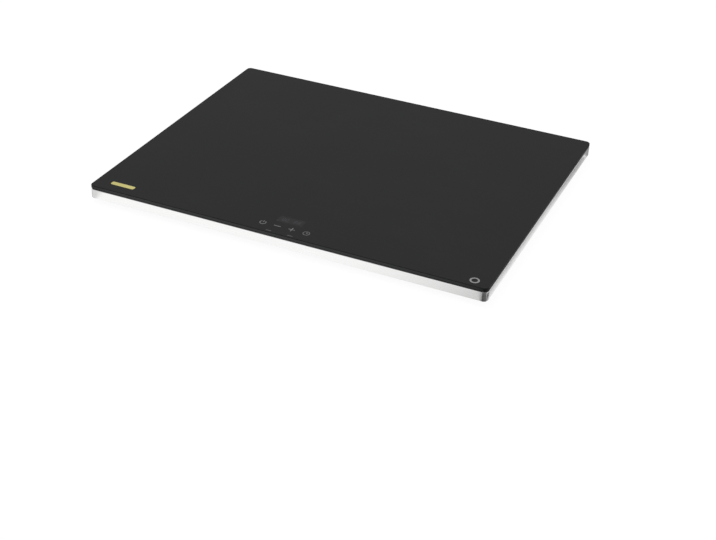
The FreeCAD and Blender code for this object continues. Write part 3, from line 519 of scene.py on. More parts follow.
# %% Lay the painted shade on the right
SIDE_SHADE = 0.90  # how opaque the strip gets
SIDE_THIN = 2.6 * MM  # where it starts to thicken, counted out from the tray
SIDE_THICK = 15.0 * MM  # where it is as thick as it gets
SIDE_SHIFT = 3.5 * MM  # how much nearer both of these are at its back end
SHIFT_FROM, SHIFT_TO = 0.2, 0.7  # as shares of the way from the middle to the back edge
SIDE_FADE = 25 * MM  # where it starts to thin out again


def side_opacity(tree):
    place = place_xyz(tree)
    away = minus(tree, place["X"], RIGHT_EDGE)
    back_from, back_to = SHIFT_FROM * BACK_EDGE, SHIFT_TO * BACK_EDGE
    nearer = stretch(tree, place["Y"], back_from, back_to, 0.0, SIDE_SHIFT)
    thicker = stretch(tree, plus(tree, away, nearer), SIDE_THIN, SIDE_THICK, 0.0, SIDE_SHADE)
    return times(tree, thicker, stretch(tree, away, SIDE_FADE, STRIP_REACH, 1.0, 0.0))


shade_strip("shade_strip_side", (RIGHT_EDGE, FRONT_EDGE), (RIGHT_EDGE + STRIP_REACH, BACK_EDGE),
            side_opacity)

# %% [markdown]
# ### Painted shade in front
#
# The right end of the front turns away from the light a little too, and the strip there
# paints that shade. It starts near the middle and grows stronger towards the right, slowly
# at first, because its share along the front is squared.

# %% Lay the painted shade in front
FRONT_SHADE = 0.42  # how opaque the strip gets at its right end
FRONT_START = 0.06  # as a share of the way from the middle to the right end
FRONT_FADE = 35 * MM  # where it starts to thin out, counted out from the tray


def front_opacity(tree):
    place = place_xyz(tree)
    along = stretch(tree, place["X"], FRONT_START * RIGHT_EDGE, RIGHT_EDGE)
    thicker = times(tree, times(tree, along, along), FRONT_SHADE)
    away = minus(tree, FRONT_EDGE, place["Y"])
    return times(tree, thicker, stretch(tree, away, FRONT_FADE, STRIP_REACH, 1.0, 0.0))


shade_strip("shade_strip_front", (0.0, FRONT_EDGE - STRIP_REACH), (RIGHT_EDGE, FRONT_EDGE),
            front_opacity)

# %% [markdown]
# ### Painted shade on the left and at the back
#
# An even, thinner strip paints a little shade on the metal of these two sides, which keeps it
# from melting into the table. One function makes both of them. It is told which axis leads
# off the tray, from which edge, and in which direction.

# %% Lay the painted shade on the left and at the back
REAR_SHADE = 0.32
REAR_FADE = 60 * MM  # where these strips start to thin out


def even_opacity(axis, edge, outwards):
    """Painted shade beside one edge. Outwards is 1 or -1, the way off the tray along the axis."""
    def opacity(tree):
        away = times(tree, minus(tree, place_xyz(tree)[axis], edge), outwards)
        return stretch(tree, away, REAR_FADE, REAR_REACH, REAR_SHADE, 0.0)

    return opacity


shade_strip("shade_strip_left", (LEFT_EDGE - REAR_REACH, FRONT_EDGE), (LEFT_EDGE, BACK_EDGE),
            even_opacity("X", LEFT_EDGE, -1))
shade_strip("shade_strip_back", (LEFT_EDGE, BACK_EDGE), (RIGHT_EDGE, BACK_EDGE + REAR_REACH),
            even_opacity("Y", BACK_EDGE, 1))

# %% [markdown]
# ## Effects that many finishes share
#
# Real surfaces are never one flat colour: metal has a grain, moulded plastic a fine texture,
# and everything that is touched has smudges. Each such effect is a node group, built once
# and placed in every material that needs it. All of them give the same two things. Tone
# says how far the place is from one shade to the other, and Height is for the bump.

# %% Helper: start a node group
def new_effect(name, **takes):
    """An empty group that takes the named numbers and gives Tone and Height."""
    group = bpy.data.node_groups.new(name, "ShaderNodeTree")
    for label, value in takes.items():
        socket = group.interface.new_socket(label, in_out="INPUT", socket_type="NodeSocketFloat")
        socket.default_value = value
    for label in ("Tone", "Height"):
        group.interface.new_socket(label, in_out="OUTPUT", socket_type="NodeSocketFloat")
    start = group.nodes.new("NodeGroupInput")
    end = group.nodes.new("NodeGroupOutput")
    print("effect", name, "takes", list(takes))
    return group, start.outputs, end.inputs


# %% [markdown]
# ### Noise
#
# Nearly every effect starts from the Noise texture. Its value is seldom under 0.3 or over
# 0.7, so a stretch between two numbers in that range sets how much contrast is left.

# %% Helper: noise
def noise(tree, place, scale, detail=2.0, roughness=0.5):
    """Smooth noise at a place, with scale features to the metre."""
    node = add(tree, "ShaderNodeTexNoise", Detail=detail, Roughness=roughness)
    feed(tree, place, node.inputs["Vector"])
    feed(tree, scale, node.inputs["Scale"])
    return node.outputs["Fac"]


# %% [markdown]
# ### Moulded grain
#
# Plastic, rubber and paint have a fine even texture, from the mould or from the spray. Two
# layers of noise make it: a fine one for the grain, and a slow one that keeps a large face
# from looking the same all over.

# %% Effect: moulded grain
FINE_SHARE = 0.55  # of the tone, and the slow noise gives the rest
SLOWER = 50  # how many times larger the slow patches are than the grains


def build_moulded_grain():
    group, takes, gives = new_effect("moulded_grain", Size=0.0005)
    place = object_place(group)
    per_metre = over(group, 1.0, takes["Size"])
    fine = noise(group, place, per_metre, detail=3.0)
    slow = noise(group, place, times(group, per_metre, 1 / SLOWER))
    both = plus(group, times(group, fine, FINE_SHARE), times(group, slow, 1 - FINE_SHARE))
    join(group, (stretch(group, both, 0.36, 0.64), gives["Tone"]), (fine, gives["Height"]))
    return group


moulded_grain = build_moulded_grain()

# %% [markdown]
# ### Brushed lines
#
# A steel strip is brushed along its length, so its grain is long fine lines that follow the
# edge of the tray. Adding X and Y gives a measure that grows along the front, round the
# corner and along the side, and Z runs across the strip. Noise that is stretched hundreds
# of times longer along the first than across the second makes the lines. On a level sheet
# the lines run along X instead and Y is across them, which is what Level 1 asks for.

# %% Effect: brushed lines
def build_brushed_lines():
    group, takes, gives = new_effect("brushed_lines", Length=0.04, Width=0.0002, Level=0.0)
    split = place_xyz(group)
    upright_y = times(group, split["Y"], minus(group, 1.0, takes["Level"]))
    level_y = times(group, split["Y"], takes["Level"])
    along = plus(group, split["X"], upright_y)
    across = plus(group, split["Z"], level_y)
    stretched = add(group, "ShaderNodeCombineXYZ")
    join(
        group,
        (over(group, along, takes["Length"]), stretched.inputs["X"]),
        (over(group, across, takes["Width"]), stretched.inputs["Y"]),
    )
    lines = noise(group, stretched.outputs[0], 1.0, detail=3.0, roughness=0.6)
    join(group, (stretch(group, lines, 0.3, 0.7), gives["Tone"]), (lines, gives["Height"]))
    return group


brushed_lines = build_brushed_lines()

# %% [markdown]
# ### Hand marks
#
# Glass and bright metal show where they were wiped and touched. Broad soft patches decide
# where there is a smear at all, and a thinner, drawn-out noise breaks each patch up. On
# glass this changes the gloss far more than the shade, as a thin film of grease does.

# %% Effect: hand marks
WIPE_STRETCH = 5.0
WIPE_TURN = 0.5  # radians, the way the cloth went
FINER = 2.5  # how many times finer the streaks are than the patches


def build_hand_marks():
    group, takes, gives = new_effect("hand_marks", Size=0.09)
    place = object_place(group)
    per_metre = over(group, 1.0, takes["Size"])
    patches = stretch(group, noise(group, place, per_metre, detail=1.0), 0.42, 0.66)
    wiped = add(group, "ShaderNodeMapping", Scale=(1, WIPE_STRETCH, 1), Rotation=(0, 0, WIPE_TURN))
    join(group, (place, wiped.inputs["Vector"]))
    streaks = noise(group, wiped.outputs[0], times(group, per_metre, FINER), detail=4.0)
    smear = times(group, patches, stretch(group, streaks, 0.35, 0.7))
    join(group, (smear, gives["Tone"]), (streaks, gives["Height"]))
    return group


hand_marks = build_hand_marks()

# %% [markdown]
# ### Edge wear
#
# Edges get rubbed first: paint thins there, and plated metal turns bright. The Bevel node
# gives the normal that a rounded edge would have. Where it leans away from the real normal
# there is an edge close by, and that lean is the mask. A little noise keeps it uneven.

# %% Effect: edge wear
LEAN_STARTS, LEAN_FULL = 0.995, 0.85  # cosines of the angle between the two normals
UNEVEN_TO_THE_METRE = 900.0


def build_edge_wear():
    group, takes, gives = new_effect("edge_wear", Radius=0.0006)
    bevel = add(group, "ShaderNodeBevel")
    bevel.samples = 4
    geometry = add(group, "ShaderNodeNewGeometry")
    lean = add(group, "ShaderNodeVectorMath")
    lean.operation = "DOT_PRODUCT"
    join(
        group,
        (takes["Radius"], bevel.inputs["Radius"]),
        (bevel.outputs[0], lean.inputs[0]),
        (geometry.outputs["Normal"], lean.inputs[1]),
    )
    edge = stretch(group, lean.outputs["Value"], LEAN_STARTS, LEAN_FULL)
    patches = noise(group, object_place(group), UNEVEN_TO_THE_METRE, detail=3.0)
    worn = times(group, edge, stretch(group, patches, 0.3, 0.6))
    join(group, (worn, gives["Tone"]), (worn, gives["Height"]))
    return group


edge_wear = build_edge_wear()

# %% [markdown]
# ### Braid
#
# Glass-fibre sleeving is a braid: two sets of threads that cross on a slant. Two waves on
# opposite slants do the same, and the higher of the two is the thread on top.

# %% Effect: braid
def build_braid():
    group, takes, gives = new_effect("braid", Pitch=0.0012)
    split = place_xyz(group)
    turns = over(group, math.tau, takes["Pitch"])
    level = plus(group, split["X"], split["Z"])
    threads = []
    for slant in ("ADD", "SUBTRACT"):
        run = calculate(group, slant, split["Y"], level)
        wave = calculate(group, "SINE", times(group, run, turns))
        threads.append(stretch(group, wave, -1.0, 1.0))
    top = calculate(group, "MAXIMUM", *threads)
    join(group, (top, gives["Tone"]), (top, gives["Height"]))
    return group


braid = build_braid()

# %% [markdown]
# ### Matted fibre and foam
#
# Blanket and foam have no such order. A cell pattern, bent out of shape by noise, gives
# matted fibres or open pores, by how far its cells are drawn out along Y.

# %% Effect: matted
BEND = 4 * MM  # how far the noise shifts the cells
BEND_COARSER = 0.3  # scale of that noise as a share of the cells' own


def build_matted():
    group, takes, gives = new_effect("matted", Size=0.0016, Draw=4.0)
    place = object_place(group)
    per_metre = over(group, 1.0, takes["Size"])
    bend = add(group, "ShaderNodeTexNoise", Detail=2.0)
    warp = add(group, "ShaderNodeVectorMath")
    warp.operation = "MULTIPLY_ADD"
    warp.inputs[1].default_value = (BEND, BEND, BEND)
    drawn = add(group, "ShaderNodeCombineXYZ", X=1.0, Z=1.0)
    longer = add(group, "ShaderNodeVectorMath")
    longer.operation = "DIVIDE"
    cells = add(group, "ShaderNodeTexVoronoi")
    cells.feature = "SMOOTH_F1"
    join(
        group,
        (place, bend.inputs["Vector"]),
        (times(group, per_metre, BEND_COARSER), bend.inputs["Scale"]),
        (bend.outputs["Color"], warp.inputs[0]),
        (place, warp.inputs[2]),
        (takes["Draw"], drawn.inputs["Y"]),
        (warp.outputs[0], longer.inputs[0]),
        (drawn.outputs[0], longer.inputs[1]),
        (longer.outputs[0], cells.inputs["Vector"]),
        (per_metre, cells.inputs["Scale"]),
    )
    depth = stretch(group, cells.outputs["Distance"], 0.05, 0.75, 1.0, 0.0)
    join(group, (depth, gives["Tone"]), (depth, gives["Height"]))
    return group


matted = build_matted()

# %% [markdown]
# ## How a finish is put together
#
# Most finishes here are the same recipe. One shader is given its plain values. An effect
# picks between two shades and between two degrees of gloss, and lifts the surface a little.
# Then thinner things go on top of it, each where its own mask says: worn edges, a metal
# cap, a coloured stripe.

# %% Helpers: the base of a finish
def place_effect(tree, effect, takes):
    """Places a group with the numbers that it takes, and gives its outputs."""
    placed = tree.nodes.new("ShaderNodeGroup")
    placed.node_tree = effect
    for label, value in takes.items():
        placed.inputs[label].default_value = value
    return placed.outputs


def finish(name, effect, shades, gloss, lift=0.0, metal=0.0, takes=None, **plain):
    """A material whose effect picks between two shades and two roughnesses. The lift is in mm."""
    material = bpy.data.materials.new(name)
    material.use_nodes = True
    tree = material.node_tree
    shader = tree.nodes["Principled BSDF"]
    for label, value in {"Metallic": metal, "Roughness": gloss[0], **plain}.items():
        shader.inputs[label.replace("_", " ")].default_value = value
    placed = place_effect(tree, effect, takes or {})
    tone = placed["Tone"]
    join(
        tree,
        (mix(tree, tone, *shades), shader.inputs["Base Color"]),
        (stretch(tree, tone, 0.0, 1.0, *gloss), shader.inputs["Roughness"]),
    )
    if lift:
        bump = add(tree, "ShaderNodeBump", Strength=1.0, Distance=lift * MM)
        join(tree, (placed["Height"], bump.inputs["Height"]))
        join(tree, (bump.outputs[0], shader.inputs["Normal"]))
    return material


def grained(name, darker, lighter, gloss, size, **rest):
    """A finish with the moulded grain. The size of its grains is in metres."""
    return finish(name, moulded_grain, (darker, lighter), gloss, takes={"Size": size}, **rest)


# %% [markdown]
# ### Layers on top
#
# A layer takes what an input of the shader has now, a plain value or the last mix, and
# mixes its own value over that where the mask is 1. So layers can be stacked, and an input
# that isn't named is left alone. Wear and smears are two such layers that come up often.

# %% Helpers: layers on top
def top_layer(material, mask, **values):
    """Where the mask is 1 the named inputs of the shader take these values instead."""
    tree = material.node_tree
    shader = tree.nodes["Principled BSDF"]
    for name, value in values.items():
        socket = shader.inputs[name.replace("_", " ")]
        before = socket.default_value
        if socket.is_linked:
            before = socket.links[0].from_socket
        elif socket.type == "RGBA":
            before = tuple(before)[:3]
        join(tree, (mix(tree, mask, before, value), socket))


def worn_edges(material, radius, **values):
    """Gives the shader these values where edges of about this radius, in metres, are rubbed."""
    mask = place_effect(material.node_tree, edge_wear, {"Radius": radius})["Tone"]
    top_layer(material, mask, **values)


def smears(material, size, **values):
    """The same where hands or a cloth left marks, in patches of about this size."""
    mask = place_effect(material.node_tree, hand_marks, {"Size": size})["Tone"]
    top_layer(material, mask, **values)


# %% [markdown]
# ### Masks by place and by the way a face looks
#
# Many finishes start and stop at a place, such as the tread of a foot or the cap of a fuse.
# A Compare node is 1 as long as a number is no further from a middle than half a width,
# which is just such a zone. Level faces are told from upright ones by the Z of their normal.

# %% Helpers: masks
BEYOND = 1 * MM  # a zone that ends with the piece is taken this far past it
UPRIGHT_TO, LEVEL_FROM = 0.8, 0.98  # how much of the normal points up or down


def between(material, axis, low, high):
    """A mask that is 1 where the place along an axis lies from low to high, in metres."""
    tree = material.node_tree
    middle, half = (low + high) / 2, (high - low) / 2
    return calculate(tree, "COMPARE", place_xyz(tree)[axis], middle, half)


def outside(material, axis, low, high):
    """A mask that is 1 where the place along an axis is not from low to high."""
    return minus(material.node_tree, 1.0, between(material, axis, low, high))


def upright_faces(material):
    """A mask that is 0 on level faces, top or bottom, and 1 on upright ones."""
    tree = material.node_tree
    split = tree.nodes.new("ShaderNodeSeparateXYZ")
    geometry = tree.nodes.new("ShaderNodeNewGeometry")
    join(tree, (geometry.outputs["Normal"], split.inputs[0]))
    rise = calculate(tree, "ABSOLUTE", split.outputs["Z"])
    return stretch(tree, rise, UPRIGHT_TO, LEVEL_FROM, 1.0, 0.0)


# %% [markdown]
# ### Dressing a piece
#
# A piece of the solid model has one material slot or more, and its finish goes in all of
# them. What has been dressed is written down, so that none is forgotten.

# %% Helper: dress a piece
dressed = {}


def dress(material, *names):
    """Gives the material to pieces of the solid model, in every slot that they have."""
    for name in names:
        for slot in nodes[name].material_slots:
            slot.material = material
        dressed[name] = material.name
    print(material.name, "on", ", ".join(names))


# %% [markdown]
# ## Glass top
#
# The top is tempered glass, printed black on its underside, so from above it is a deep
# even black with a mirror gloss. Most of what the eye sees in it is the dim ceiling. The
# edges are ground matt, and there one looks into the clear glass above the print, which has
# a hint of green. A few smears and specks of lint keep the large face from looking computed.

# %% Finish: black glass
SPECKS_TO_THE_METRE = 28.0
LINT_CORE, LINT_RIM = 0.004, 0.007  # as shares of the room between two specks


def black_glass():
    glass = finish(
        "black_glass", hand_marks, shades=((0.0216, 0.0216, 0.0220), (0.0233, 0.0233, 0.0236)),
        gloss=(0.035, 0.085), takes={"Size": 0.11}, IOR=1.5,
    )
    top_layer(glass, upright_faces(glass), Base_Color=(0.003, 0.004, 0.0038), Roughness=0.55)
    tree = glass.node_tree
    specks = add(tree, "ShaderNodeTexVoronoi", Scale=SPECKS_TO_THE_METRE, Randomness=1.0)
    join(tree, (object_place(tree), specks.inputs["Vector"]))
    lint = stretch(tree, specks.outputs["Distance"], LINT_CORE, LINT_RIM, 1.0, 0.0)
    top_layer(glass, lint, Base_Color=(0.16, 0.16, 0.15), Roughness=0.8)
    return glass


dress(black_glass(), "glass_top")

# %% [markdown]
# ## Metal frame
#
# The band under the glass is a strip of bright steel with a fine satin grain along it. It
# has no colour of its own worth the name: it shows the white table in front of it. Its
# bends are burnished a little smoother by the press that folded them.

# %% Finish: satin steel
def satin_steel():
    steel = finish(
        "satin_steel", brushed_lines, shades=((0.90, 0.90, 0.895), (0.965, 0.965, 0.96)),
        gloss=(0.20, 0.29), lift=0.002, metal=1.0, takes={"Length": 0.06, "Width": 0.00022},
    )
    smears(steel, 0.05, Roughness=0.31)
    worn_edges(steel, 0.0005, Roughness=0.14)
    return steel


dress(satin_steel(), "perimeter_frame")

# %% [markdown]
# ## Silicone, rubber and the moulded gland
#
# The seal under the glass is black silicone, smooth and faintly shiny. The feet are harder
# black rubber, dull, with a dusty tread where they meet the table. The cord gland is
# moulded nylon with a fine spark-eroded texture that wears shiny at its corners.

# %% Finishes: seal, feet and gland
TREAD = 0.9 * MM  # height of the dusty zone on a foot


def black_silicone():
    silicone = grained("black_silicone", grey(0.012), (0.022, 0.022, 0.023),
                       gloss=(0.38, 0.52), size=0.0009, lift=0.01)
    smears(silicone, 0.03, Roughness=0.3)
    return silicone


def foot_rubber():
    rubber = grained("foot_rubber", grey(0.014), grey(0.03), gloss=(0.62, 0.78), size=0.0006, lift=0.03)
    tread = between(rubber, "Z", -BEYOND, TREAD)
    top_layer(rubber, tread, Base_Color=(0.07, 0.067, 0.062), Roughness=0.92)
    return rubber


def gland_nylon():
    nylon = grained("gland_nylon", (0.013, 0.013, 0.014), (0.028, 0.028, 0.029),
                    gloss=(0.42, 0.58), size=0.0004, lift=0.02)
    worn_edges(nylon, 0.0004, Base_Color=(0.05, 0.05, 0.052), Roughness=0.3)
    return nylon


dress(black_silicone(), "glass_seal")
dress(foot_rubber(), "foot_front_left", "foot_front_right", "foot_back_left", "foot_back_right")
dress(gland_nylon(), "cord_gland")

# %% [markdown]
# ## Base pan
#
# The bottom cover is steel sheet with a grey powder coat. The powder melts into a skin with
# tiny dimples, like the peel of an orange, and it is thinner on the rims of the pressed
# beads and the air slots, where the metal starts to show.

# %% Finish: powder coat
def powder_coat():
    coat = grained("powder_coat", (0.16, 0.165, 0.17), (0.22, 0.225, 0.23),
                   gloss=(0.48, 0.62), size=0.0011, lift=0.06)
    worn_edges(coat, 0.0005, Base_Color=grey(0.42), Roughness=0.35)
    return coat


dress(powder_coat(), "base_pan")

# %% [markdown]
# ## Screws and small metal parts
#
# Plated steel has a soft grey shine with a hint of yellow and blue from its passivation,
# which the hand-mark effect lays down in uneven patches. Brass is warmer and polishes up at
# its edges. Aluminium sheet keeps the long faint lines of the rolling mill, and the extruded
# heat sink is the same metal with a matt skin.

# %% Finishes: plated steel, brass and aluminium
def bare_metal(name, effect, shades, gloss, takes, rubbed, lift=0.0):
    metal = finish(name, effect, shades, gloss, lift=lift, metal=1.0, takes=takes)
    worn_edges(metal, 0.0003, Base_Color=rubbed, Roughness=0.2)
    return metal


zinc = bare_metal(
    "zinc_plate", hand_marks, shades=((0.56, 0.57, 0.60), (0.72, 0.70, 0.58)),
    gloss=(0.26, 0.42), takes={"Size": 0.006}, rubbed=grey(0.82),
)
brass = bare_metal(
    "plain_brass", hand_marks, shades=((0.66, 0.50, 0.22), (0.78, 0.62, 0.32)),
    gloss=(0.24, 0.4), takes={"Size": 0.005}, rubbed=(0.88, 0.75, 0.45),
)
rolled = bare_metal(
    "rolled_aluminium", brushed_lines, shades=((0.72, 0.72, 0.73), (0.84, 0.84, 0.85)),
    gloss=(0.3, 0.44), takes={"Length": 0.09, "Width": 0.0006, "Level": 1.0}, rubbed=grey(0.9),
)
extruded = bare_metal(
    "extruded_aluminium", moulded_grain, shades=((0.55, 0.55, 0.56), (0.68, 0.68, 0.69)),
    gloss=(0.42, 0.55), takes={"Size": 0.0004}, rubbed=grey(0.82), lift=0.01,
)
dress(zinc, "base_screws", "foot_screws", "panel_screws", "board_screws")
dress(brass, "cable_crimps", "fuse_clips", "terminal_screws", "earth_screw")
dress(rolled, "spreader_plate", "cable_retainers")
dress(extruded, "triac_heatsink")

# %% [markdown]
# ## Heater: cable, blanket and film
#
# The heating cable has a red-brown silicone sheath. Below it lies a blanket of white ceramic
# fibre, dull and matted, with a little sheen for its loose fibre ends. Above the spreader
# plate a thin grey adhesive film bonds it to the glass. The soft pillars under the touch
# keys are black open foam. Foam and blanket share the matted effect: long cells look like
# fibre, round ones like pores.

# %% Finishes: cable, blanket, foam and film
sheath = grained("cable_sheath", (0.26, 0.06, 0.04), (0.36, 0.09, 0.06),
                 gloss=(0.42, 0.56), size=0.0008, lift=0.02)
smears(sheath, 0.04, Base_Color=(0.42, 0.16, 0.12), Roughness=0.66)
blanket = finish(
    "ceramic_fibre", matted, shades=((0.62, 0.61, 0.56), (0.82, 0.81, 0.77)),
    gloss=(0.88, 0.97), lift=0.5, takes={"Size": 0.0022, "Draw": 6.0}, Sheen_Weight=0.3,
)
foam = finish(
    "carbon_foam", matted, shades=((0.012, 0.012, 0.013), (0.05, 0.05, 0.052)),
    gloss=(0.82, 0.93), lift=0.2, takes={"Size": 0.0007, "Draw": 1.0},
)
film = grained("adhesive_film", (0.33, 0.33, 0.35), (0.42, 0.42, 0.44),
               gloss=(0.28, 0.46), size=0.003, lift=0.01)
dress(sheath, "heating_cable")
dress(blanket, "insulation_blanket")
dress(foam, "touch_pads")
dress(film, "bonding_film")

# %% [markdown]
# ## Moulded parts: nylon, carrier and sockets
#
# Spacers and lead clips are white nylon, and the sockets are an ivory one. The carrier under
# the glass, the terminal block and the case of the cut-out are filled plastics in shades of
# their own. They differ only in shade and grain, so one line each is enough. Edges rub pale
# on the light ones, and to a middle tone on the two dark ones.

# %% Finishes: moulded parts
MOULDED = {  # darker shade, lighter shade and size of the grain
    "white_nylon": ((0.66, 0.65, 0.60), (0.76, 0.75, 0.70), 0.0005),
    "ivory_nylon": ((0.58, 0.54, 0.44), (0.68, 0.64, 0.54), 0.0004),
    "grey_carrier": ((0.07, 0.07, 0.073), (0.10, 0.10, 0.104), 0.0005),
    "pale_block": ((0.50, 0.51, 0.50), (0.60, 0.61, 0.60), 0.0006),
    "cutout_case": ((0.10, 0.05, 0.03), (0.15, 0.08, 0.05), 0.0005),
}
WORN_TO = {"grey_carrier": (0.16, 0.16, 0.165), "cutout_case": (0.26, 0.16, 0.11)}


def moulded(name):
    darker, lighter, size = MOULDED[name]
    plastic = grained(name, darker, lighter, gloss=(0.4, 0.55), size=size, lift=0.015)
    rubbed = WORN_TO.get(name, (0.86, 0.85, 0.81))
    worn_edges(plastic, 0.0003, Base_Color=rubbed, Roughness=0.34)
    return plastic


dress(moulded("white_nylon"), "board_standoffs", "lead_clips")
dress(moulded("ivory_nylon"), "mains_socket", "heater_socket", "ribbon_sockets", "sensor_socket")
dress(moulded("grey_carrier"), "panel_carrier")
dress(moulded("pale_block"), "terminal_block")
dress(moulded("cutout_case"), "thermal_cutout")

# %% [markdown]
# ## Circuit boards
#
# A board is glass-fibre laminate with copper tracks under a coat of solder mask. The tracks
# show through the mask as slightly raised lines of a lighter tone. The effect lays thin
# lines along X in some patches and along Y in the others, and breaks them here and there.

# %% Effect: copper tracks
PATCHES_TO_THE_METRE = 90.0
GAPS_TO_THE_METRE = 210.0
TRACK_CORE, TRACK_RIM = 0.14, 0.19  # from its middle line, as shares of the pitch


def build_copper_tracks():
    group, takes, gives = new_effect("copper_tracks", Pitch=0.0018)
    split = place_xyz(group)
    place = object_place(group)
    along_y = stretch(group, noise(group, place, PATCHES_TO_THE_METRE, detail=0.0), 0.499, 0.501)
    lines = []
    for axis in ("Y", "X"):
        step = calculate(group, "FRACT", over(group, split[axis], takes["Pitch"]))
        off = calculate(group, "ABSOLUTE", minus(group, step, 0.5))
        lines.append(stretch(group, off, TRACK_CORE, TRACK_RIM, 1.0, 0.0))
    unbroken = stretch(group, noise(group, place, GAPS_TO_THE_METRE, detail=0.0), 0.44, 0.46)
    drawn = times(group, mix(group, along_y, *lines), unbroken)
    join(group, (drawn, gives["Tone"]), (drawn, gives["Height"]))
    return group


copper_tracks = build_copper_tracks()

# %% [markdown]
# ### The two boards
#
# Tinned dots go on top of the tracks, where parts are soldered. The edges of a board are
# bare laminate, so the mask for upright faces turns them straw yellow.

# %% Finishes: the two boards
DOTS_TO_THE_METRE = 170.0
DOT_CORE, DOT_RIM = 0.16, 0.2  # as shares of the room between two dots


def circuit_board(name, mask_shade, track_shade, pitch):
    board = finish(name, copper_tracks, shades=(mask_shade, track_shade), gloss=(0.28, 0.36),
                   lift=0.04, takes={"Pitch": pitch})
    tree = board.node_tree
    dots = add(tree, "ShaderNodeTexVoronoi", Scale=DOTS_TO_THE_METRE, Randomness=0.4)
    join(tree, (object_place(tree), dots.inputs["Vector"]))
    tinned = stretch(tree, dots.outputs["Distance"], DOT_CORE, DOT_RIM, 1.0, 0.0)
    top_layer(board, tinned, Base_Color=grey(0.7), Metallic=0.9, Roughness=0.3)
    edges = upright_faces(board)
    top_layer(board, edges, Base_Color=(0.42, 0.36, 0.16), Metallic=0.0, Roughness=0.7)
    return board


green_board = circuit_board("green_board", (0.01, 0.09, 0.03), (0.03, 0.18, 0.06), 0.0021)
black_board = circuit_board("black_board", (0.012, 0.014, 0.013), (0.04, 0.05, 0.045), 0.0015)
dress(green_board, "power_board")
dress(black_board, "touch_board")

# %% [markdown]
# ## Parts that are half metal and half something else
#
# Many small electrical parts are moulded round a piece of metal, or capped with it. One
# solid then needs two finishes, and a mask by place decides which is where. The places are
# read from the box of each part, so they follow it if the board is moved.

# %% Helper: metal put on by a mask
def tinned_metal(material, mask, shade=(0.7, 0.7, 0.69)):
    top_layer(material, mask, Base_Color=shade, Metallic=1.0, Roughness=0.28)


# %% [markdown]
# ### Power switch and controller chip
#
# Both have a body of black epoxy. The switch stands on a bare metal tab that reaches out
# behind it, with its legs in front, and the chip has rows of legs on its two long sides.

# %% Finishes: power switch and controller chip
SWITCH_LEGS = 7 * MM  # front ends of the legs to the moulded body
SWITCH_BODY_END = 16 * MM  # and to the back of that body
SWITCH_TAB = 1.3 * MM  # thickness of the tab
CHIP_HALF_BODY = 2.02 * MM


def black_epoxy(name):
    return grained(name, (0.012, 0.012, 0.013), (0.025, 0.025, 0.026),
                   gloss=(0.5, 0.65), size=0.0003, lift=0.02)


def power_switch():
    """The moulded body lies above the tab and between the legs and the tab's bare end."""
    switch = black_epoxy("power_switch")
    low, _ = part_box("triac")
    ends = outside(switch, "Y", low.y + SWITCH_LEGS, low.y + SWITCH_BODY_END)
    tab = between(switch, "Z", low.z - BEYOND, low.z + SWITCH_TAB)
    tinned_metal(switch, calculate(switch.node_tree, "MAXIMUM", ends, tab))
    return switch


def controller():
    """The legs stand out beyond the body on both long sides."""
    chip = black_epoxy("controller")
    low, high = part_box("controller_chip")
    middle = (low.y + high.y) / 2
    tinned_metal(chip, outside(chip, "Y", middle - CHIP_HALF_BODY, middle + CHIP_HALF_BODY))
    return chip


dress(power_switch(), "triac")
dress(controller(), "controller_chip")

# %% [markdown]
# ### Capacitors
#
# The film capacitor is a plain moulded box. The other one is an aluminium can in a shrunk
# sleeve: a pale stripe marks one side, the top is left bare and the foot is black rubber.

# %% Finishes: capacitors
CAN_HALF_STRIPE = 0.9 * MM
CAN_BARE_END = 0.15 * MM
CAN_RUBBER = 0.1 * MM


def film_capacitor():
    case = grained("film_capacitor", (0.50, 0.33, 0.04), (0.60, 0.42, 0.07),
                   gloss=(0.34, 0.48), size=0.0006, lift=0.02)
    worn_edges(case, 0.0004, Base_Color=(0.72, 0.56, 0.2))
    return case


def can_capacitor():
    """The can lies on its side along X, with its foot to the left."""
    low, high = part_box("smoothing_capacitor")
    axis_z = low.z + (high.y - low.y) / 2
    can = grained("can_capacitor", (0.015, 0.03, 0.09), (0.025, 0.045, 0.13),
                  gloss=(0.25, 0.36), size=0.0007, lift=0.01)
    stripe = between(can, "Z", axis_z - CAN_HALF_STRIPE, axis_z + CAN_HALF_STRIPE)
    top_layer(can, stripe, Base_Color=(0.55, 0.58, 0.62))
    tinned_metal(can, between(can, "X", high.x - CAN_BARE_END, high.x + BEYOND))
    foot = between(can, "X", low.x - BEYOND, low.x + CAN_RUBBER)
    top_layer(can, foot, Base_Color=grey(0.02), Metallic=0.0, Roughness=0.8)
    return can


dress(film_capacitor(), "suppression_capacitor")
dress(can_capacitor(), "smoothing_capacitor")

# %% [markdown]
# ### Fuse and temperature sensor
#
# The fuse is a ceramic tube with a metal cap on each end. The sensor is a thin aluminium lug
# with the dark resin of the thermistor's barrel below it.

# %% Finishes: fuse and sensor
FUSE_CAP = 5 * MM
LUG = 1.05 * MM  # thickness of the sensor's lug


def ceramic_fuse():
    low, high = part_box("mains_fuse")
    fuse = grained("ceramic_fuse", (0.72, 0.71, 0.67), (0.80, 0.79, 0.76),
                   gloss=(0.3, 0.42), size=0.0005, lift=0.01)
    caps = outside(fuse, "X", low.x + FUSE_CAP, high.x - FUSE_CAP)
    tinned_metal(fuse, caps, shade=(0.72, 0.72, 0.7))
    return fuse


def lug_sensor():
    _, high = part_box("temperature_sensor")
    sensor = grained("lug_sensor", (0.015, 0.018, 0.03), (0.03, 0.034, 0.05),
                     gloss=(0.28, 0.42), size=0.0005, lift=0.01)
    lug = between(sensor, "Z", high.z - LUG, high.z + BEYOND)
    tinned_metal(sensor, lug, shade=(0.75, 0.75, 0.76))
    return sensor


dress(ceramic_fuse(), "mains_fuse")
dress(lug_sensor(), "temperature_sensor")

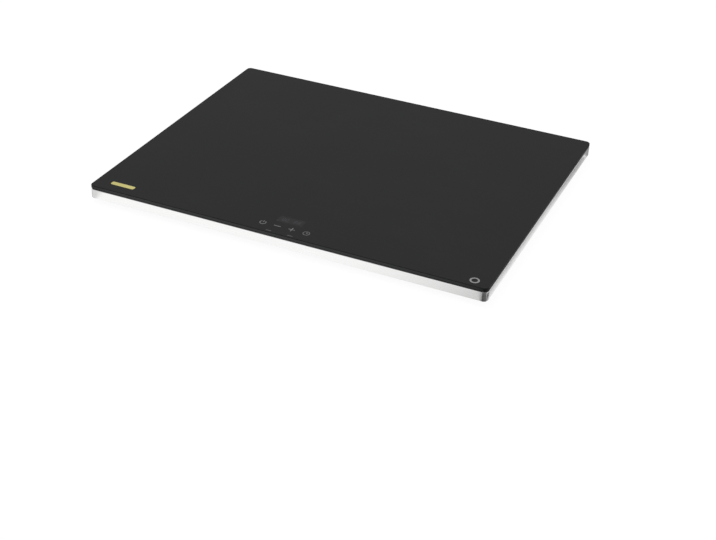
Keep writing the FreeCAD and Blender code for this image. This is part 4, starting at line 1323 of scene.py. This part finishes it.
# %% [markdown]
# ## Display and lamps
#
# The display is a white plastic block whose top is a dark filter. The lamps are pale chips
# with a yellow phosphor face. Both are turned off here, so nothing glows.

# %% Finishes: display and lamps
FILTER = 0.05 * MM  # thickness of the display's dark face
PHOSPHOR = 0.02 * MM  # and of a lamp's yellow one


def upper_face(material, top, depth, **values):
    """Gives the shader these values in a piece from its top down to the depth."""
    top_layer(material, between(material, "Z", top - depth, top + BEYOND), **values)


display_block = grained("display_block", (0.66, 0.66, 0.65), (0.75, 0.75, 0.74),
                        gloss=(0.4, 0.5), size=0.0004, lift=0.01)
display_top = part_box("display_module")[1].z
upper_face(display_block, display_top, FILTER, Base_Color=(0.02, 0.02, 0.022), Roughness=0.2)
lamp_chip = grained("lamp_chip", (0.70, 0.70, 0.66), (0.78, 0.78, 0.75),
                    gloss=(0.35, 0.5), size=0.0002, lift=0.005)
lamp_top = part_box("key_lamps")[1].z
upper_face(lamp_chip, lamp_top, PHOSPHOR, Base_Color=(0.72, 0.60, 0.16), Roughness=0.3)
dress(display_block, "display_module")
dress(lamp_chip, "key_lamps")

# %% [markdown]
# ## Wiring
#
# Supply and earth leads have a smooth silicone skin. Their colours follow the usual code:
# brown for live, blue for neutral, green with a yellow stripe for earth. The pair of supply
# leads is one piece, and so is the earth lead with its tag, so the colours go on by place.

# %% Finishes: supply and earth leads
LIVE_FROM_RIGHT = 3.7 * MM  # the live lead ends this far from the right of the pair's box
LIVE_FROM_FRONT = 4.2 * MM  # and this far from the front of it
TAG_THICKNESS = 0.85 * MM
TAG_LENGTH = 6.4 * MM


def lead_skin(name, shade):
    lighter = tuple(0.06 + 1.15 * part for part in shade)
    return grained(name, shade, lighter, gloss=(0.34, 0.48), size=0.0009, lift=0.01)


def supply_skin():
    """Two leads in one piece. The live lead is the one nearer the middle, and further back."""
    low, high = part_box("supply_leads")
    skin = lead_skin("supply_skin", (0.012, 0.06, 0.26))
    live = times(
        skin.node_tree,
        between(skin, "X", low.x - BEYOND, high.x - LIVE_FROM_RIGHT),
        between(skin, "Y", low.y + LIVE_FROM_FRONT, high.y + BEYOND),
    )
    top_layer(skin, live, Base_Color=(0.13, 0.05, 0.02))
    return skin


def earth_skin():
    low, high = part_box("earth_lead")
    skin = lead_skin("earth_skin", (0.02, 0.2, 0.04))
    middle = (low.x + high.x) / 2
    top_layer(skin, between(skin, "X", middle, high.x), Base_Color=(0.66, 0.55, 0.03))
    tag = times(
        skin.node_tree,
        between(skin, "Z", low.z - BEYOND, low.z + TAG_THICKNESS),
        between(skin, "Y", low.y - BEYOND, low.y + TAG_LENGTH),
    )
    tinned_metal(skin, tag)
    return skin


dress(supply_skin(), "supply_leads")
dress(earth_skin(), "earth_lead")

# %% [markdown]
# ### Braided leads and flat cable
#
# The heater's cold leads run hot, so they wear a white glass braid, and the sensor's thin
# lead has a finer braid of the same kind. The flat cable between the boards is grey, with
# painted shade in the grooves between its ways, and a red line along one edge.

# %% Finishes: braided leads and flat cable
WAY_PITCH = 1.27 * MM  # from one conductor of the flat cable to the next
RED_EDGE = 1.1 * MM


def braided(name, shades, pitch):
    return finish(name, braid, shades=shades, gloss=(0.7, 0.84), lift=0.08, takes={"Pitch": pitch})


def flat_cable():
    """The painted shade of the grooves and the red line run with the cable, so both are placed by Y."""
    low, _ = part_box("panel_ribbon")
    cable = grained("flat_cable", grey(0.34), grey(0.42), gloss=(0.42, 0.54), size=0.0006)
    tree = cable.node_tree
    wave = calculate(tree, "SINE", times(tree, place_xyz(tree)["Y"], math.tau / WAY_PITCH))
    # Dark lines between the ways: painted shade in the grooves, with no relief under it.
    groove_shade = stretch(tree, wave, -1.0, -0.75, 1.0, 0.0)
    top_layer(cable, groove_shade, Base_Color=grey(0.16), Roughness=0.7)
    red_edge = between(cable, "Y", low.y - BEYOND, low.y + RED_EDGE)
    top_layer(cable, red_edge, Base_Color=(0.45, 0.02, 0.02))
    return cable


dress(braided("glass_braid", ((0.44, 0.43, 0.38), (0.78, 0.77, 0.73)), 0.0012), "heater_leads")
dress(braided("fine_braid", ((0.3, 0.29, 0.26), (0.66, 0.64, 0.6)), 0.0007), "sensor_lead")
dress(flat_cable(), "panel_ribbon")
print("dressed", len(dressed), "of", len(nodes), "- left:", sorted(set(nodes) - set(dressed)))

# %% [markdown]
# ## Printed marks
#
# The marks by the keys are ceramic ink, fired on the glass. Painting them into the glass
# material would work, but as real thin plates they keep a crisp edge from close by and can
# be changed one by one. Every mark is drawn from a few flat outlines: arcs, bars and rings.

# %% Helpers: flat outlines
def arc(radius, start, end, steps=24):
    """Points round the origin, from one angle to another, in degrees."""
    turns = [math.radians(start + (end - start) * k / steps) for k in range(steps + 1)]
    return [(radius * math.cos(t), radius * math.sin(t)) for t in turns]


def bent_stroke(radius, width, start, end):
    """A stroke of even width along an arc."""
    return arc(radius + width / 2, start, end) + arc(radius - width / 2, end, start)


def bar(length, width, corner, x=0.0, y=0.0):
    """A bar along X about the place x, y, with rounded corners."""
    dx, dy = length / 2 - corner, width / 2 - corner
    points = []
    for cx, cy, start in ((dx, dy, 0), (-dx, dy, 90), (-dx, -dy, 180), (dx, -dy, 270)):
        points += [(x + cx + px, y + cy + py) for px, py in arc(corner, start, start + 90, 6)]
    return points


def ring(radius, width):
    """The outer and the inner loop of a ring round the origin."""
    return [arc(radius + side * width / 2, 0, 360, 48)[:-1] for side in (1, -1)]


# %% [markdown]
# ### Printing an outline
#
# A flat outline turns into a prism a fiftieth of a millimetre proud of the glass, with its
# foot sunk a hair into it so that no gap shows. The prism is built face by face, because
# outlines this small need no other tool. It rides on the tray.

# %% Helper: print outlines on the glass
INK_PROUD = 0.02 * MM
INK_SUNK = 0.01 * MM


def print_mark(name, material, place, outlines=(), rings=(), proud=INK_PROUD):
    """Turns outlines in mm, about a place in metres, into one thin piece on the glass."""
    mesh = bpy.data.meshes.new(name)
    shape = bmesh.new()

    def loop(points, z):
        return [shape.verts.new((place[0] + px * MM, place[1] + py * MM, z)) for px, py in points]

    def both_levels(points):
        return loop(points, GLASS_FACE - INK_SUNK), loop(points, GLASS_FACE + proud)

    def bridge(first, second):
        for k in range(len(first)):
            shape.faces.new((first[k - 1], first[k], second[k], second[k - 1]))

    for points in outlines:
        lower, upper = both_levels(points)
        shape.faces.new(lower[::-1])
        shape.faces.new(upper)
        bridge(lower, upper)
    for outer, inner in rings:
        (outer_low, outer_high), (inner_low, inner_high) = both_levels(outer), both_levels(inner)
        bridge(outer_low, outer_high)
        bridge(outer_high, inner_high)
        bridge(inner_high, inner_low)
        bridge(inner_low, outer_low)
    bmesh.ops.recalc_face_normals(shape, faces=shape.faces)
    shape.to_mesh(mesh)
    shape.free()
    piece = bpy.data.objects.new(name, mesh)
    bpy.context.scene.collection.objects.link(piece)
    mesh.materials.append(material)
    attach(piece, "root")
    print(name, "has", len(mesh.polygons), "faces")


# %% [markdown]
# ### Inks
#
# Fired ink is slightly rough and never quite opaque. The key marks are a soft grey. The
# bar near the left end, where such trays carry a name, is left plain, in a pale gold
# with a little metal in it. A plain ring takes the place of the hot-surface notice.

# %% Finishes: inks and smoked window
def ink(name, darker, lighter, gloss=(0.42, 0.58), metal=0.0):
    printed = grained(name, darker, lighter, gloss, size=0.00035, lift=0.004, metal=metal)
    smears(printed, 0.02, Roughness=0.34)
    return printed


key_ink = ink("key_ink", (0.148, 0.148, 0.151), (0.196, 0.196, 0.20))
faint_ink = ink("faint_ink", (0.085, 0.085, 0.086), (0.11, 0.11, 0.111))
ring_ink = ink("ring_ink", grey(0.25), grey(0.31))
gold_ink = ink("gold_ink", (0.68, 0.61, 0.22), (0.77, 0.70, 0.265), metal=0.25)
smoked = ink("smoked_window", (0.028, 0.028, 0.03), (0.033, 0.033, 0.035), gloss=(0.1, 0.2))
digit_ink = ink("unlit_digit", (0.05, 0.05, 0.053), (0.06, 0.06, 0.063), gloss=(0.2, 0.32))
print("inks:", [m.name for m in (key_ink, faint_ink, ring_ink, gold_ink, smoked, digit_ink)])

# %% [markdown]
# ### Key marks
#
# Four touch keys, each with a plain mark that says what it does: power, less, more, timer.
# The power mark is the boldest because it is the one to find first. The plus sign is one
# quarter of its outline, turned three times.

# %% Print the key marks
KEY_PITCH = (LAST_KEY - FIRST_KEY) / 3
PRINT_FORWARD = 2.0 * MM  # a finger comes from the front, so the marks sit ahead of the pads
key_places = [(FIRST_KEY + k * KEY_PITCH, KEY_Y - PRINT_FORWARD) for k in range(4)]

power_bar = bar(1.2, 4.0, 0.3, y=2.5)
power_arc = bent_stroke(3.5, 1.2, 125, 415)
less_bar = bar(8.4, 1.3, 0.3)
plus_quarter = [(3.9, 0.6), (0.6, 0.6), (0.6, 3.9)]  # the arms' ends and the crook between them
plus_sign = []
for _ in range(4):
    plus_sign += plus_quarter
    plus_quarter = [(-py, px) for px, py in plus_quarter]
clock_rim = ring(3.8, 0.75)
clock_hands = [(-0.4, 2.6), (-0.4, -0.4), (2.2, -0.4), (2.2, 0.4), (0.4, 0.4), (0.4, 2.6)]

print_mark("mark_power", key_ink, key_places[0], outlines=[power_bar, power_arc])
print_mark("mark_less", key_ink, key_places[1], outlines=[less_bar])
print_mark("mark_more", key_ink, key_places[2], outlines=[plus_sign])
print_mark("mark_timer", key_ink, key_places[3], outlines=[clock_hands], rings=[clock_rim])
print("key marks at x =", [round(x / MM, 1) for x, _ in key_places])

# %% [markdown]
# ### Display window
#
# Behind the keys the black print is thinner and the display shows through as a slightly
# lighter window. Its two pairs of digits, for the heat and the hours, are off. A digit is
# seven bars with pointed ends.

# %% Print the display window
WINDOW = (32, 13, 1.5)  # length, width and corner radius, in mm
WINDOW_FORWARD = 3.3 * MM  # middle of the window, ahead of the middle of the display
SEGMENT, STROKE = 2.7, 0.7  # length and width of a digit's bars, in mm
SEGMENT_GAP = 0.15  # bare glass at each end of a bar
DIGIT_XS = (-9.3, -4.9, 5.7, 10.1)

display_low, display_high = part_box("display_module")
display_middle = (display_low + display_high) / 2
window_place = (display_middle.x, display_middle.y - WINDOW_FORWARD)


def segment(x, y, upright):
    """One pointed bar of a digit, about the place x, y."""
    reach, half = SEGMENT / 2 - SEGMENT_GAP, STROKE / 2
    flat = reach - half
    points = [(reach, 0), (flat, half), (-flat, half), (-reach, 0), (-flat, -half), (flat, -half)]
    return [(x - py, y + px) if upright else (x + px, y + py) for px, py in points]


def digit(x):
    level = [segment(x, k * SEGMENT, upright=False) for k in (-1, 0, 1)]
    sides = [
        segment(x + side * SEGMENT / 2, k * SEGMENT / 2, upright=True)
        for side in (-1, 1)
        for k in (-1, 1)
    ]
    return level + sides


digits = [outline for x in DIGIT_XS for outline in digit(x)]
print_mark("display_window", smoked, window_place, outlines=[bar(*WINDOW)], proud=INK_PROUD / 2)
print_mark("display_digits", digit_ink, window_place, outlines=digits)
print("digits are made of", len(digits), "bars")

# %% [markdown]
# ### Plain dashes, bar and ring
#
# Two faint dashes stand at the front edge, before the keys. The bar and the ring sit on the
# front margin, near its ends. They balance the key row and carry no words.

# %% Print the dashes, the bar and the ring
DASH_X = 13.5  # in mm, either side of the middle
DASH_BACK = 3.7 * MM  # behind the front edge
BAR_FROM_LEFT, BAR_BACK = 36 * MM, 17.3 * MM
RING_FROM_RIGHT, RING_BACK = 19.2 * MM, 11.4 * MM

dashes = [bar(7.0, 1.2, 0.5, x=side * DASH_X) for side in (-1, 1)]
print_mark("front_dashes", faint_ink, (0.0, FRONT_EDGE + DASH_BACK), outlines=dashes)
bar_place = (LEFT_EDGE + BAR_FROM_LEFT, FRONT_EDGE + BAR_BACK)
print_mark("gold_bar", gold_ink, bar_place, outlines=[bar(31.5, 6.8, 2.2)])
ring_place = (RIGHT_EDGE - RING_FROM_RIGHT, FRONT_EDGE + RING_BACK)
print_mark("grey_ring", ring_ink, ring_place, rings=[ring(4.6, 2.0)])
